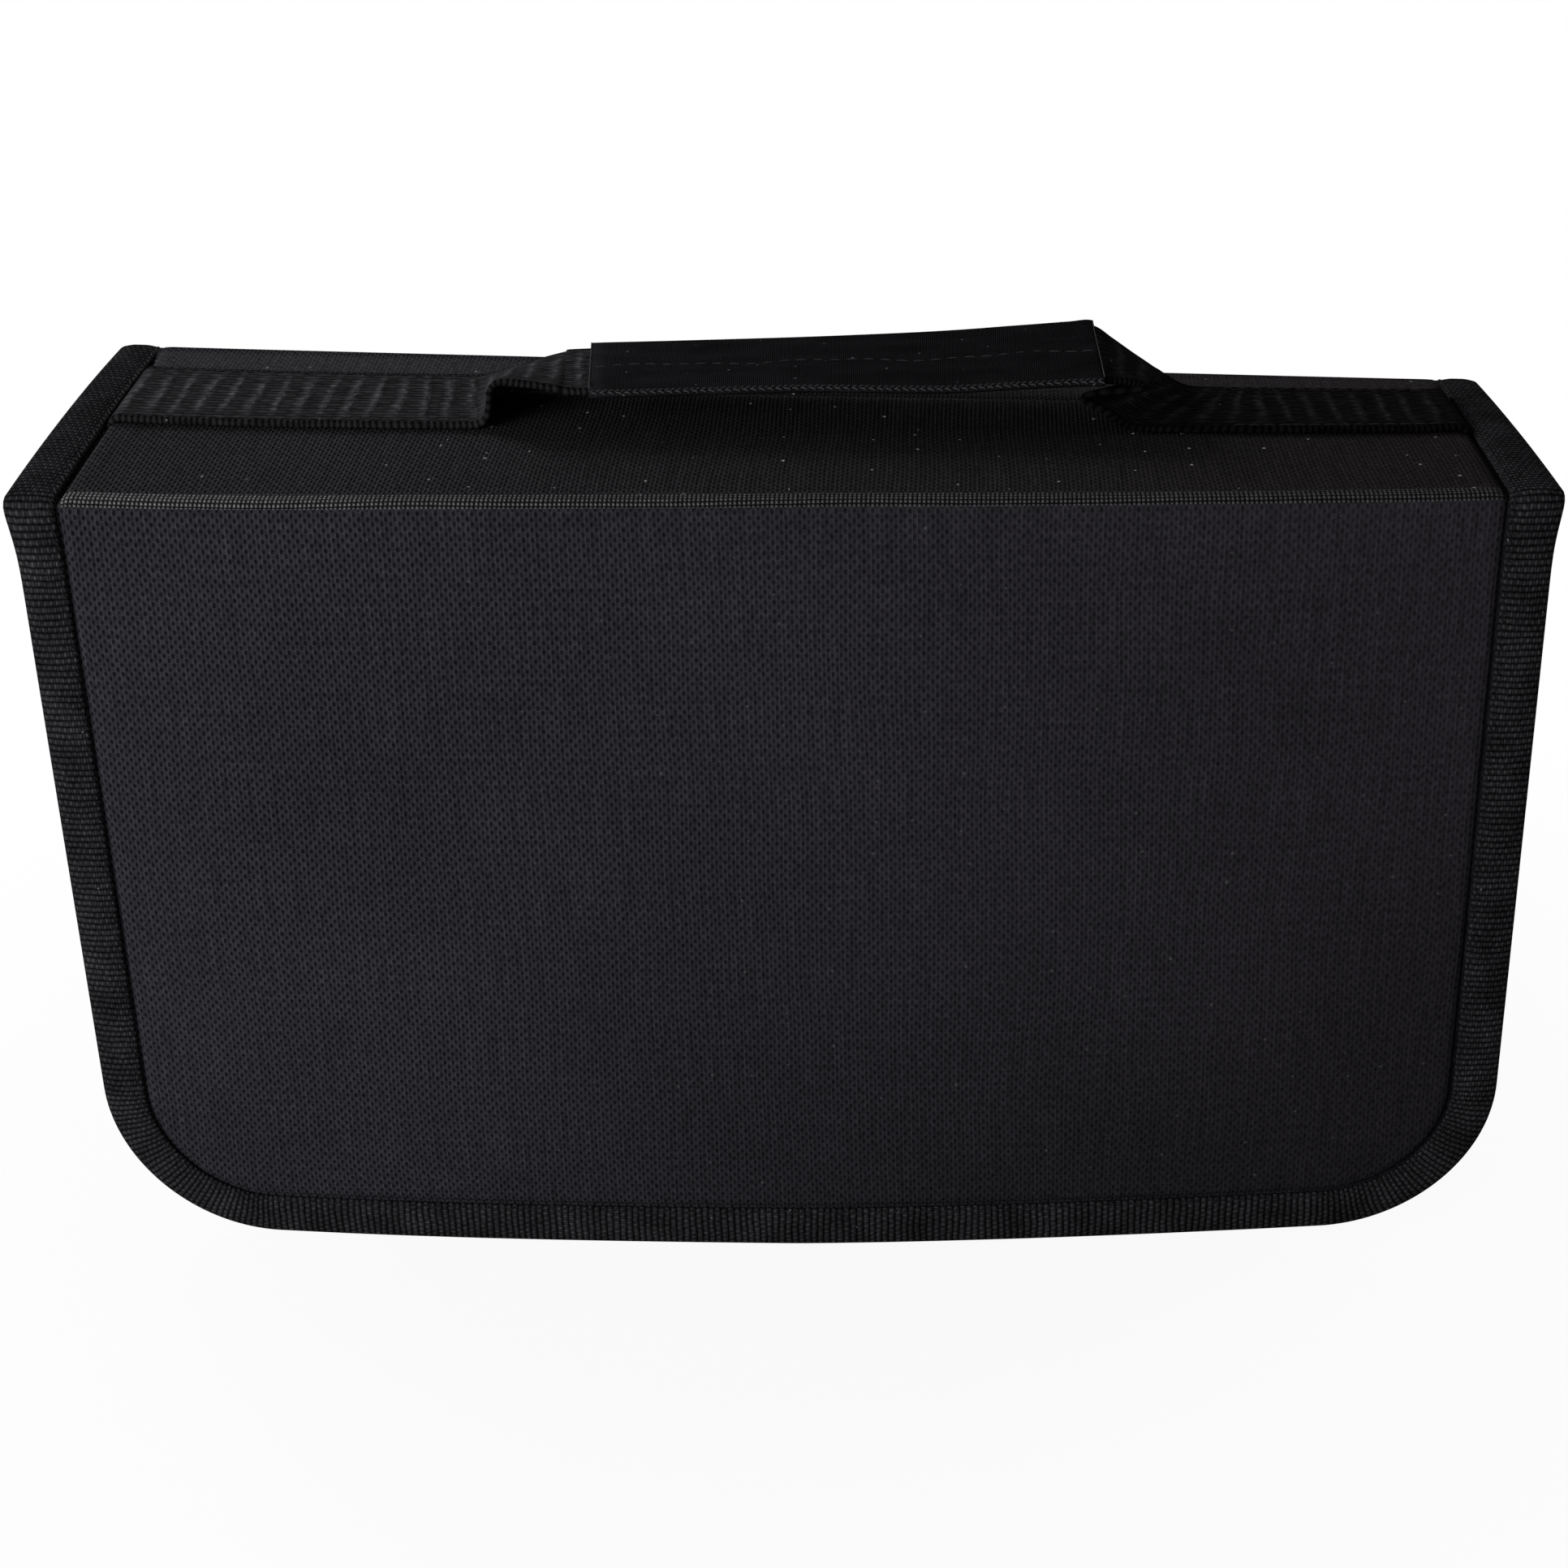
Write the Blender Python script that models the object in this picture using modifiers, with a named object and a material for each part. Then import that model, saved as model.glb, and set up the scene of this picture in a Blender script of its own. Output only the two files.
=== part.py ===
"""A zip-round storage case for compact discs, with a webbing handle along its spine.

Units are metres. X runs along the spine, Y through the thickness with the front cover at -Y,
and Z is up. The origin is at the bottom centre, on the surface that the case stands on.

Two measures place every layer: depth counts inward from the outer face of a cover or of the
spine, and inset counts inward from the outer edge of the binding tape.
"""

import math

import bmesh
import bpy
from mathutils import Matrix, Vector

MM = 0.001

# Whole case
LENGTH = 305 * MM
HEIGHT = 175 * MM
THICKNESS = 88 * MM
CORNER_RADIUS = 36 * MM
FOLD_RADIUS = 3.0 * MM
CORNER_STEPS = 10
FOLD_STEPS = 6
CLEARANCE = 0.3 * MM

# Layers of the covers and the spine
FABRIC = 0.8 * MM
BOARD = 1.1 * MM
LINING = 0.6 * MM
WALL = 0.8 * MM
BINDING = 0.8 * MM
BINDING_DEPTH = 0.3 * MM
BINDING_WIDTH = 9.3 * MM
BINDING_EDGE = 0.7 * MM
TRENCH = 1.2 * MM
SHOULDER_STEPS = 3

# Side walls and zip
WALL_INSET = 8.6 * MM
WALL_EDGE = 13 * MM
ZIP_TAPE = 0.5 * MM
ZIP_TAPE_EDGE = 18 * MM
ZIP_SLIT = 1.2 * MM
COIL_WIDTH = 2.5 * MM
COIL_HEIGHT = 2.3 * MM
COIL_CHAMFER = 0.5 * MM
STOP_LENGTH = 3.0 * MM
STOP_HEIGHT = 2.9 * MM
STOP_DROP = 1.2 * MM

# Zip slider and pull
SLIDER_LENGTH = 10.5 * MM
SLIDER_WIDTH = 9.0 * MM
SLIDER_PLATE = 1.3 * MM
SLIDER_DROP = 12.9 * MM
NECK_LENGTH = 2.0 * MM
BRIDGE_WIDTH = 1.8 * MM
BRIDGE_BAR = 1.0 * MM
PULL_THICKNESS = 1.2 * MM
PULL_WIDTH = 6.4 * MM
PULL_LENGTH = 25 * MM
PULL_TIP_RADIUS = 2.4 * MM
PULL_EDGE = 0.25 * MM

# Handle
STRAP_WIDTH = 30 * MM
STRAP = 1.4 * MM
STRAP_STATIONS = 3
STRAP_COLUMNS = 4
STRAP_LEFT_Y = 9.4 * MM
STRAP_RIGHT_Y = 12.0 * MM
SLEEVE_MARGIN = 2.0 * MM
SLEEVE_CLOTH = 0.9 * MM
SLEEVE_START = -39.5 * MM
SLEEVE_END = 66.5 * MM

# Pages
PAGE_STRIP_WIDTH = 26 * MM
PAGE_STRIP = 3.0 * MM
PAGE_END_ROOM = 4.8 * MM
PAGE_FOOT_ROOM = 9.2 * MM
PAGES_TOP_WIDTH = 22 * MM
PAGES_BOTTOM_WIDTH = 32 * MM
PAGES_CORNER = 12 * MM
PAGES_CORNER_STEPS = 5

# Depths of the layers, each one a clearance behind the last
PAD_EDGE = BINDING_DEPTH + BINDING + CLEARANCE
BOARD_DEPTH = FABRIC + CLEARANCE
LINING_DEPTH = max(PAD_EDGE + FABRIC, BOARD_DEPTH + BOARD) + CLEARANCE
FLANGE_DEPTH = LINING_DEPTH + LINING + CLEARANCE
BINDING_BACK = FLANGE_DEPTH + WALL + CLEARANCE
EDGE_DEPTH = BINDING_BACK + BINDING
LINING_BACK = LINING_DEPTH + LINING

# Insets and levels that several pieces share
LAYER_INSET = BINDING + CLEARANCE
PAD_INSET = BINDING_WIDTH + TRENCH
BOARD_INSET = PAD_INSET + PAD_EDGE + FABRIC
TAPE_INSET = WALL_INSET + WALL + CLEARANCE
COVER_TOP = HEIGHT - FOLD_RADIUS - CLEARANCE
WALL_TOP = HEIGHT - EDGE_DEPTH - CLEARANCE
COIL_MIDDLE = TAPE_INSET + ZIP_TAPE / 2
COIL_TOP = WALL_TOP - STOP_DROP - STOP_LENGTH - CLEARANCE
COIL_BACK = COIL_MIDDLE + COIL_HEIGHT / 2
SLIDER_BACK = COIL_BACK + CLEARANCE + SLIDER_PLATE
SLIDER_HEIGHT = COIL_TOP - SLIDER_DROP
CHAIN_WIDTH = ZIP_SLIT + 2 * COIL_WIDTH
SPINE_FLAT = THICKNESS / 2 - EDGE_DEPTH - CLEARANCE
STRAP_END = LENGTH / 2 - BINDING_WIDTH - CLEARANCE
SLEEVE_WIDTH = STRAP_WIDTH + 2 * SLEEVE_MARGIN
PAGES_LENGTH = LENGTH - 2 * (SLIDER_BACK + PAGE_END_ROOM)
PAGES_TOP = HEIGHT - LINING_BACK - 2 * CLEARANCE - PAGE_STRIP
PAGES_BOTTOM = COIL_BACK + PAGE_FOOT_ROOM

# A fold turns about the point that keeps its cloth the same length open and closed
HINGE_INSET = FOLD_RADIUS * (1 - math.pi / 4)

# Route of the handle's raised part in millimetres, from left to right: where the front edge is
# along X and how far it is lifted off the spine, then the same for the back edge
HANDLE_ROUTE = (
    (-80.0, 0.0, -82.0, 0.0),
    (-66.0, 0.0, -71.0, 0.4),
    (-61.0, 1.8, -66.0, 2.0),
    (-61.8, 5.6, -61.5, 4.2),
    (-59.5, 9.0, -57.0, 6.2),
    (-54.5, 10.1, -51.5, 7.6),
    (-48.0, 9.6, -47.0, 7.9),
    (-39.0, 9.2, -42.0, 7.9),
    (-19.0, 9.2, -20.0, 8.0),
    (8.0, 9.5, 8.0, 8.6),
    (32.0, 10.5, 32.0, 9.7),
    (48.0, 12.0, 49.0, 10.4),
    (66.0, 14.2, 65.0, 11.3),
    (71.5, 12.6, 68.5, 10.6),
    (73.6, 10.2, 71.0, 8.6),
    (71.5, 8.6, 73.2, 6.9),
    (67.0, 8.0, 75.4, 5.1),
    (62.8, 6.4, 77.4, 3.4),
    (63.2, 3.6, 79.4, 1.8),
    (67.5, 1.2, 81.6, 0.6),
    (72.0, 0.2, 84.5, 0.1),
    (80.0, 0.0, 90.0, 0.0),
)


def clear_scene():
    """Remove every object that the scene starts with."""
    for obj in list(bpy.data.objects):
        bpy.data.objects.remove(obj, do_unlink=True)


def make_material(name, colour, roughness, metallic=0.0):
    """A plain Principled material."""
    material = bpy.data.materials.new(name)
    material.use_nodes = True
    shader = material.node_tree.nodes["Principled BSDF"]
    shader.inputs["Base Color"].default_value = (*colour, 1.0)
    shader.inputs["Roughness"].default_value = roughness
    shader.inputs["Metallic"].default_value = metallic
    material.diffuse_color = (*colour, 1.0)
    return material


def make_collection(name):
    """A collection linked to the scene."""
    collection = bpy.data.collections.new(name)
    bpy.context.scene.collection.children.link(collection)
    return collection


def finish(name, bm, material, collection, closed=True, smooth_angle=35):
    """Turn a bmesh into a named object with one material."""
    bmesh.ops.remove_doubles(bm, verts=bm.verts, dist=0.00001)
    if closed:
        bmesh.ops.recalc_face_normals(bm, faces=bm.faces)
    mesh = bpy.data.meshes.new(name)
    bm.to_mesh(mesh)
    bm.free()
    mesh.shade_smooth()
    mesh.set_sharp_from_angle(angle=math.radians(smooth_angle))
    mesh.materials.append(material)
    obj = bpy.data.objects.new(name, mesh)
    collection.objects.link(obj)
    return obj


def solidify(obj, thickness, offset, even=True):
    """Give an open surface its thickness; even thickness suits sharp corners, not twisted cloth."""
    modifier = obj.modifiers.new("Thickness", "SOLIDIFY")
    modifier.thickness = thickness
    modifier.offset = offset
    modifier.use_even_offset = even


def boolean(obj, other, operation):
    """Cut or join one closed mesh with another."""
    modifier = obj.modifiers.new(operation.title(), "BOOLEAN")
    modifier.operation = operation
    modifier.object = other
    modifier.solver = "EXACT"


def apply_modifiers(obj):
    """Replace an object's mesh by its evaluated one, so that its tools can be removed."""
    graph = bpy.context.evaluated_depsgraph_get()
    mesh = bpy.data.meshes.new_from_object(obj.evaluated_get(graph))
    obj.modifiers.clear()
    obj.data = mesh


def joined(obj, others):
    """Union an object with others, which are removed afterwards."""
    for other in others:
        boolean(obj, other, "UNION")
    apply_modifiers(obj)
    for other in others:
        bpy.data.objects.remove(other, do_unlink=True)
    return obj


def arc(centre, radius, start, end, steps):
    """Points along an arc in a plane, both ends included; angles are in degrees."""
    turns = [math.radians(start + (end - start) * i / steps) for i in range(steps + 1)]
    return [(centre[0] + radius * math.cos(t), centre[1] + radius * math.sin(t)) for t in turns]


def extruded(bm, face, keep=False):
    """Extrude a face in place and return the new face; a kept face closes the start."""
    made = bmesh.ops.extrude_face_region(bm, geom=[face])["geom"]
    if not keep:
        bmesh.ops.delete(bm, geom=[face], context="FACES_ONLY")
    return next(item for item in made if isinstance(item, bmesh.types.BMFace))


def extruded_by(bm, face, vector, keep=False):
    """Extrude a face along a vector and return the new face."""
    new_face = extruded(bm, face, keep)
    bmesh.ops.translate(bm, verts=new_face.verts, vec=vector)
    return new_face


def plate(bm, points, vector):
    """A flat outline extruded along a vector."""
    face = bm.faces.new([bm.verts.new(point) for point in points])
    extruded_by(bm, face, vector, keep=True)


def loft(bm, rows):
    """An open surface through rows that have the same number of points."""
    lines = [[bm.verts.new(point) for point in row] for row in rows]
    for line, next_line in zip(lines, lines[1:]):
        for i in range(len(line) - 1):
            bm.faces.new((line[i], next_line[i], next_line[i + 1], line[i + 1]))


def depth_y(side, depth):
    """Y at a depth behind the outer face of the front (-1) or the back (1) cover."""
    return side * (THICKNESS / 2 - depth)


def cover_outline(inset, top):
    """X and Z round a cover at an inset, from its top left corner to its top right one."""
    corner_x = LENGTH / 2 - CORNER_RADIUS
    radius = CORNER_RADIUS - inset
    left = arc((-corner_x, CORNER_RADIUS), radius, 180, 270, CORNER_STEPS)
    right = arc((corner_x, CORNER_RADIUS), radius, 270, 360, CORNER_STEPS)
    edge = LENGTH / 2 - inset
    return [(-edge, top)] + left + right + [(edge, top)]


def cover_sheet(name, side, inset, top, depth, thickness, material, collection):
    """A flat layer of a cover."""
    bm = bmesh.new()
    y = depth_y(side, depth)
    points = [(x, y, z) for x, z in cover_outline(inset, top)]
    plate(bm, points, (0, -side * thickness, 0))
    return finish(name, bm, material, collection)


def swept_round_cover(bm, section, side, top):
    """A section of insets and depths, carried down one end, along the bottom and up again."""
    corner_x = LENGTH / 2 - CORNER_RADIUS
    points = [(inset - LENGTH / 2, depth_y(side, depth), top) for inset, depth in section]
    face = bm.faces.new([bm.verts.new(point) for point in points])
    turn = Matrix.Rotation(-math.pi / 2 / CORNER_STEPS, 3, "Y")
    down = top - CORNER_RADIUS
    face = extruded_by(bm, face, (0, 0, -down), keep=True)
    for centre_x, run in ((-corner_x, (2 * corner_x, 0, 0)), (corner_x, (0, 0, down))):
        for _ in range(CORNER_STEPS):
            face = extruded(bm, face)
            centre = (centre_x, 0, CORNER_RADIUS)
            bmesh.ops.rotate(bm, verts=face.verts, cent=centre, matrix=turn)
        face = extruded_by(bm, face, run)


def shoulder(rise):
    """Steps of inset and rise that round the padding's edge, from its foot to its top."""
    turns = [math.pi / 2 * i / SHOULDER_STEPS for i in range(SHOULDER_STEPS + 1)]
    points = [(rise * (1 - math.cos(t)), rise * math.sin(t)) for t in turns]
    return [(b[0] - a[0], b[1] - a[1]) for a, b in zip(points, points[1:])]


def make_cover_pad(name, side, material, collection):
    """The padded outer fabric: flat under the tape, then a rounded step up to the panel."""
    bm = bmesh.new()
    spare_top = COVER_TOP + PAD_INSET + PAD_EDGE
    y = depth_y(side, PAD_EDGE)
    points = [(x, y, z) for x, z in cover_outline(LAYER_INSET, spare_top + CORNER_RADIUS)]
    face = bm.faces.new([bm.verts.new(point) for point in points])
    face.normal_update()
    if face.normal.y * side < 0:
        face.normal_flip()
    for inset, rise in [(PAD_INSET - LAYER_INSET, 0)] + shoulder(PAD_EDGE):
        bmesh.ops.inset_region(
            bm, faces=[face], thickness=inset, depth=rise, use_boundary=True,
            use_even_offset=True)
    everything = bm.verts[:] + bm.edges[:] + bm.faces[:]
    bmesh.ops.bisect_plane(
        bm, geom=everything, plane_co=(0, 0, COVER_TOP), plane_no=(0, 0, 1), clear_outer=True)
    pad = finish(name, bm, material, collection, closed=False)
    solidify(pad, FABRIC, -1)
    return pad


def spine_line(depth):
    """Y and Z across the spine at a depth, from the front fold's foot to the back fold's."""
    fold_y = THICKNESS / 2 - FOLD_RADIUS
    fold_z = HEIGHT - FOLD_RADIUS
    radius = FOLD_RADIUS - depth
    front = arc((-fold_y, fold_z), radius, 180, 90, FOLD_STEPS)
    back = arc((fold_y, fold_z), radius, 90, 0, FOLD_STEPS)
    return front + back


def make_spine_pad(material, collection):
    """The spine's outer fabric, with the two folds that the covers hang from."""
    stations = [(LENGTH / 2 - LAYER_INSET, PAD_EDGE), (LENGTH / 2 - PAD_INSET, PAD_EDGE)]
    for inset, rise in shoulder(PAD_EDGE):
        x, depth = stations[-1]
        stations.append((x - inset, depth - rise))
    rows = [(-x, depth) for x, depth in stations] + list(reversed(stations))
    bm = bmesh.new()
    loft(bm, [[(x, y, z) for y, z in spine_line(depth)] for x, depth in rows])
    pad = finish("spine_fabric", bm, material, collection, closed=False)
    solidify(pad, FABRIC, -1)
    return pad


def make_spine_sheet(name, inset, depth, thickness, half_width, material, collection):
    """A flat layer of the spine."""
    bm = bmesh.new()
    x = LENGTH / 2 - inset
    z = HEIGHT - depth
    points = [(sx * x, sy * half_width, z) for sx, sy in ((-1, -1), (1, -1), (1, 1), (-1, 1))]
    plate(bm, points, (0, 0, -thickness))
    return finish(name, bm, material, collection)


def make_spine_binding(name, end, material, parts, cutters):
    """Tape folded over one end of the spine; it follows both folds down to the covers."""
    back = LINING_BACK + CLEARANCE + BINDING
    fold_foot = HEIGHT - FOLD_RADIUS
    outline = spine_line(BINDING_DEPTH)
    outline += [(SPINE_FLAT, fold_foot), (SPINE_FLAT, HEIGHT - back)]
    outline += [(-SPINE_FLAT, HEIGHT - back), (-SPINE_FLAT, fold_foot)]
    outer_x = end * LENGTH / 2
    bm = bmesh.new()
    plate(bm, [(outer_x, y, z) for y, z in outline], (-end * BINDING_WIDTH, 0, 0))
    tape = finish(name, bm, material, parts)
    slot = spine_line(BINDING_DEPTH + BINDING)
    slot_bottom = HEIGHT - back + BINDING
    slot += [(slot[-1][0], slot_bottom), (slot[0][0], slot_bottom)]
    bm = bmesh.new()
    slot_x = outer_x - end * BINDING
    plate(bm, [(slot_x, y, z) for y, z in slot], (-end * BINDING_WIDTH, 0, 0))
    cutter = finish(name + "_slot", bm, material, cutters)
    cutter.hide_render = True
    cutter.display_type = "WIRE"
    boolean(tape, cutter, "DIFFERENCE")
    return tape


def make_cover_binding(name, side, material, collection):
    """Tape folded round a cover's two ends and bottom."""
    edge, tape = BINDING_EDGE, BINDING
    front, back = BINDING_DEPTH, EDGE_DEPTH
    inner_leg = WALL_INSET - CLEARANCE
    section = [
        (0, front + edge), (edge / 3, front + edge / 3), (edge, front),
        (BINDING_WIDTH, front), (BINDING_WIDTH, front + tape),
        (tape, front + tape), (tape, back - tape), (inner_leg, back - tape),
        (inner_leg, back), (edge, back), (edge / 3, back - edge / 3), (0, back - edge),
    ]
    bm = bmesh.new()
    swept_round_cover(bm, section, side, COVER_TOP)
    return finish(name, bm, material, collection)


def make_gusset(name, side, material, collection):
    """The side wall: a flange inside the binding, and a wall in towards the zip."""
    reach = THICKNESS / 2 - WALL_EDGE
    section = [
        (LAYER_INSET, FLANGE_DEPTH), (WALL_INSET + WALL, FLANGE_DEPTH),
        (WALL_INSET + WALL, reach), (WALL_INSET, reach),
        (WALL_INSET, FLANGE_DEPTH + WALL), (LAYER_INSET, FLANGE_DEPTH + WALL),
    ]
    bm = bmesh.new()
    swept_round_cover(bm, section, side, WALL_TOP)
    return finish(name, bm, material, collection)


def make_zip_tape(name, side, material, collection):
    """The zip's tape, just inside the side wall's free edge."""
    start = THICKNESS / 2 - ZIP_TAPE_EDGE
    stop = THICKNESS / 2 - ZIP_SLIT / 2 - COIL_WIDTH - CLEARANCE
    section = [
        (TAPE_INSET, start), (TAPE_INSET + ZIP_TAPE, start),
        (TAPE_INSET + ZIP_TAPE, stop), (TAPE_INSET, stop),
    ]
    bm = bmesh.new()
    swept_round_cover(bm, section, side, WALL_TOP)
    return finish(name, bm, material, collection)


def make_coil(name, side, material, collection):
    """One half of the zip's coil, as a bar of the coil's outer size."""
    near = THICKNESS / 2 - ZIP_SLIT / 2
    far = near - COIL_WIDTH
    outer = COIL_MIDDLE - COIL_HEIGHT / 2
    inner = COIL_MIDDLE + COIL_HEIGHT / 2
    cut = COIL_CHAMFER
    section = [
        (outer + cut, far), (inner - cut, far), (inner, far + cut), (inner, near - cut),
        (inner - cut, near), (outer + cut, near), (outer, near - cut), (outer, far + cut),
    ]
    bm = bmesh.new()
    swept_round_cover(bm, section, side, COIL_TOP)
    return finish(name, bm, material, collection)


def make_zip_stop(name, side, end, material, collection):
    """A small moulded stop at the top of one coil."""
    near = depth_y(side, THICKNESS / 2 - ZIP_SLIT / 2)
    far = depth_y(side, THICKNESS / 2 - ZIP_SLIT / 2 - COIL_WIDTH)
    middle_x = end * (LENGTH / 2 - COIL_MIDDLE)
    bottom = COIL_TOP + CLEARANCE
    bm = bmesh.new()
    bmesh.ops.create_cube(bm, size=1)
    bmesh.ops.scale(bm, verts=bm.verts, vec=(STOP_HEIGHT, COIL_WIDTH, STOP_LENGTH))
    centre = (middle_x, (near + far) / 2, bottom + STOP_LENGTH / 2)
    bmesh.ops.translate(bm, verts=bm.verts, vec=centre)
    bmesh.ops.bevel(bm, geom=bm.edges[:], offset=COIL_CHAMFER, segments=2, affect="EDGES")
    return finish(name, bm, material, collection)


def box_object(name, low, high, material, collection, bevel=0.0):
    """A box between two corners, with rounded edges."""
    bm = bmesh.new()
    bmesh.ops.create_cube(bm, size=1)
    bmesh.ops.scale(bm, verts=bm.verts, vec=[h - l for l, h in zip(low, high)])
    bmesh.ops.translate(bm, verts=bm.verts, vec=[(l + h) / 2 for l, h in zip(low, high)])
    if bevel:
        bmesh.ops.bevel(bm, geom=bm.edges[:], offset=bevel, segments=2, affect="EDGES")
    return finish(name, bm, material, collection)


def pull_axis():
    """X and Z of the bar that the zip pull swings on."""
    outer_plate = LENGTH / 2 - COIL_MIDDLE + COIL_HEIGHT / 2 + CLEARANCE + SLIDER_PLATE
    bar_radius = PULL_THICKNESS / math.sqrt(2)
    return outer_plate + bar_radius + CLEARANCE, SLIDER_HEIGHT


def bridge_hollow():
    """Half the height and length of the hollow under the slider's bridge."""
    return PULL_THICKNESS / math.sqrt(2) + CLEARANCE


def make_slider(material, collection):
    """Two plates either side of the coil, the neck between them, and the bridge on top."""
    coil_x = LENGTH / 2 - COIL_MIDDLE
    out_low = coil_x + COIL_HEIGHT / 2 + CLEARANCE
    out_high = out_low + SLIDER_PLATE
    in_high = coil_x - COIL_HEIGHT / 2 - CLEARANCE
    in_low = in_high - SLIDER_PLATE
    half_width = SLIDER_WIDTH / 2
    bottom = SLIDER_HEIGHT - SLIDER_LENGTH / 2
    top = SLIDER_HEIGHT + SLIDER_LENGTH / 2
    neck = ZIP_SLIT / 2 - CLEARANCE
    slider = box_object(
        "zip_slider", (out_low, -half_width, bottom), (out_high, half_width, top),
        material, collection, bevel=SLIDER_PLATE / 4)
    inner_plate = box_object(
        "inner_plate", (in_low, -CHAIN_WIDTH / 2, bottom), (in_high, CHAIN_WIDTH / 2, top),
        material, collection, bevel=SLIDER_PLATE / 4)
    middle = SLIDER_PLATE / 2
    neck_box = box_object(
        "neck", (in_high - middle, -neck, top - 2 * NECK_LENGTH),
        (out_low + middle, neck, top - NECK_LENGTH), material, collection)
    hollow = bridge_hollow()
    axis_x, axis_z = pull_axis()
    reach = hollow + BRIDGE_BAR
    bridge = box_object(
        "bridge", (out_high - middle, -BRIDGE_WIDTH / 2, axis_z - reach),
        (axis_x + reach, BRIDGE_WIDTH / 2, axis_z + reach), material, collection,
        bevel=BRIDGE_BAR / 4)
    window = box_object(
        "window", (out_high + CLEARANCE / 10, -BRIDGE_WIDTH, axis_z - hollow),
        (axis_x + hollow, BRIDGE_WIDTH, axis_z + hollow), material, collection)
    boolean(bridge, window, "DIFFERENCE")
    apply_modifiers(bridge)
    bpy.data.objects.remove(window, do_unlink=True)
    return joined(slider, [inner_plate, neck_box, bridge])


def make_pull(material, collection):
    """A flat tab with a window for the bridge; the strip above the window is its bar."""
    axis_x, axis_z = pull_axis()
    bar = PULL_THICKNESS / 2
    half = PULL_WIDTH / 2
    tip = PULL_TIP_RADIUS
    bottom = axis_z - PULL_LENGTH
    right = arc((half - tip, bottom + tip), tip, 0, -90, FOLD_STEPS)
    left = arc((tip - half, bottom + tip), tip, -90, -180, FOLD_STEPS)
    outline = [(-half, axis_z + bar), (half, axis_z + bar)] + right + left
    bm = bmesh.new()
    plate(bm, [(axis_x - bar, y, z) for y, z in outline], (PULL_THICKNESS, 0, 0))
    sides = [edge for edge in bm.edges if abs(edge.verts[0].co.x - edge.verts[1].co.x) < bar]
    bmesh.ops.bevel(bm, geom=sides, offset=PULL_EDGE, segments=1, affect="EDGES")
    pull = finish("zip_pull", bm, material, collection)
    reach = bridge_hollow() + BRIDGE_BAR
    clear = math.hypot(reach, reach) + CLEARANCE
    half_window = BRIDGE_WIDTH / 2 + CLEARANCE
    window = box_object(
        "pull_window", (axis_x - PULL_THICKNESS, -half_window, axis_z - clear),
        (axis_x + PULL_THICKNESS, half_window, axis_z - bar), material, collection)
    boolean(pull, window, "DIFFERENCE")
    apply_modifiers(pull)
    bpy.data.objects.remove(window, do_unlink=True)
    return pull


def smooth_route(points, steps):
    """Points of a Catmull-Rom curve through the given points."""
    ends = [points[0]] + list(points) + [points[-1]]
    route = []
    for a, b, c, d in zip(ends, ends[1:], ends[2:], ends[3:]):
        for i in range(steps):
            t = i / steps
            route.append([
                0.5 * (2 * q + (r - p) * t + (2 * p - 5 * q + 4 * r - s) * t * t
                       + (3 * q - p - 3 * r + s) * t ** 3)
                for p, q, r, s in zip(a, b, c, d)])
    route.append(list(points[-1]))
    return route


def strap_middle_y(x):
    """Y of the handle's middle line, which runs a little askew along the spine."""
    share = (x + LENGTH / 2) / LENGTH
    return STRAP_LEFT_Y + (STRAP_RIGHT_Y - STRAP_LEFT_Y) * share


def strap_edges(width):
    """The front and back edge points of the handle at each station."""
    raised = [[value * MM for value in point] for point in HANDLE_ROUTE]
    points = [(-STRAP_END, 0, -STRAP_END, 0)] + raised + [(STRAP_END, 0, STRAP_END, 0)]
    rest = HEIGHT + CLEARANCE + STRAP / 2
    edges = []
    for front_x, front_lift, back_x, back_lift in smooth_route(points, STRAP_STATIONS):
        middle_y = strap_middle_y((front_x + back_x) / 2)
        front = Vector((front_x, middle_y - width / 2, rest + max(front_lift, 0)))
        back = Vector((back_x, middle_y + width / 2, rest + max(back_lift, 0)))
        edges.append((front, back))
    return edges


def make_strap(material, collection):
    """The webbing, sewn flat along the spine and raised in the middle as a handle."""
    bm = bmesh.new()
    rows = []
    for front, back in strap_edges(STRAP_WIDTH):
        rows.append([front.lerp(back, i / STRAP_COLUMNS) for i in range(STRAP_COLUMNS + 1)])
    loft(bm, rows)
    strap = finish("handle_strap", bm, material, collection, closed=False, smooth_angle=60)
    solidify(strap, STRAP, 0, even=False)
    return strap


def sleeve_stations():
    """The run of the handle's stations that the grip covers."""
    edges = strap_edges(SLEEVE_WIDTH)
    first = next(i for i, pair in enumerate(edges) if pair[0].x > SLEEVE_START)
    last = next(i for i, pair in enumerate(edges) if pair[0].x > SLEEVE_END)
    return edges[first:last]


def make_sleeve(material, collection):
    """The folded cloth grip, a flat tube round the webbing."""
    stations = sleeve_stations()
    half = STRAP / 2 + CLEARANCE + SLEEVE_CLOTH
    bm = bmesh.new()
    rows = []
    for i, (front, back) in enumerate(stations):
        before = stations[max(i - 1, 0)]
        after = stations[min(i + 1, len(stations) - 1)]
        along = (after[0] + after[1] - before[0] - before[1]).normalized()
        across = (back - front).normalized()
        up = along.cross(across).normalized()
        front_end = arc((half, 0), half, 270, 90, FOLD_STEPS)
        back_end = arc((SLEEVE_WIDTH - half, 0), half, 90, -90, FOLD_STEPS)
        ring = [front + across * a + up * b for a, b in front_end + back_end]
        rows.append(ring + [ring[0]])
    loft(bm, rows)
    sleeve = finish("handle_grip", bm, material, collection, closed=False)
    solidify(sleeve, SLEEVE_CLOTH, -1)
    return sleeve


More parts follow.
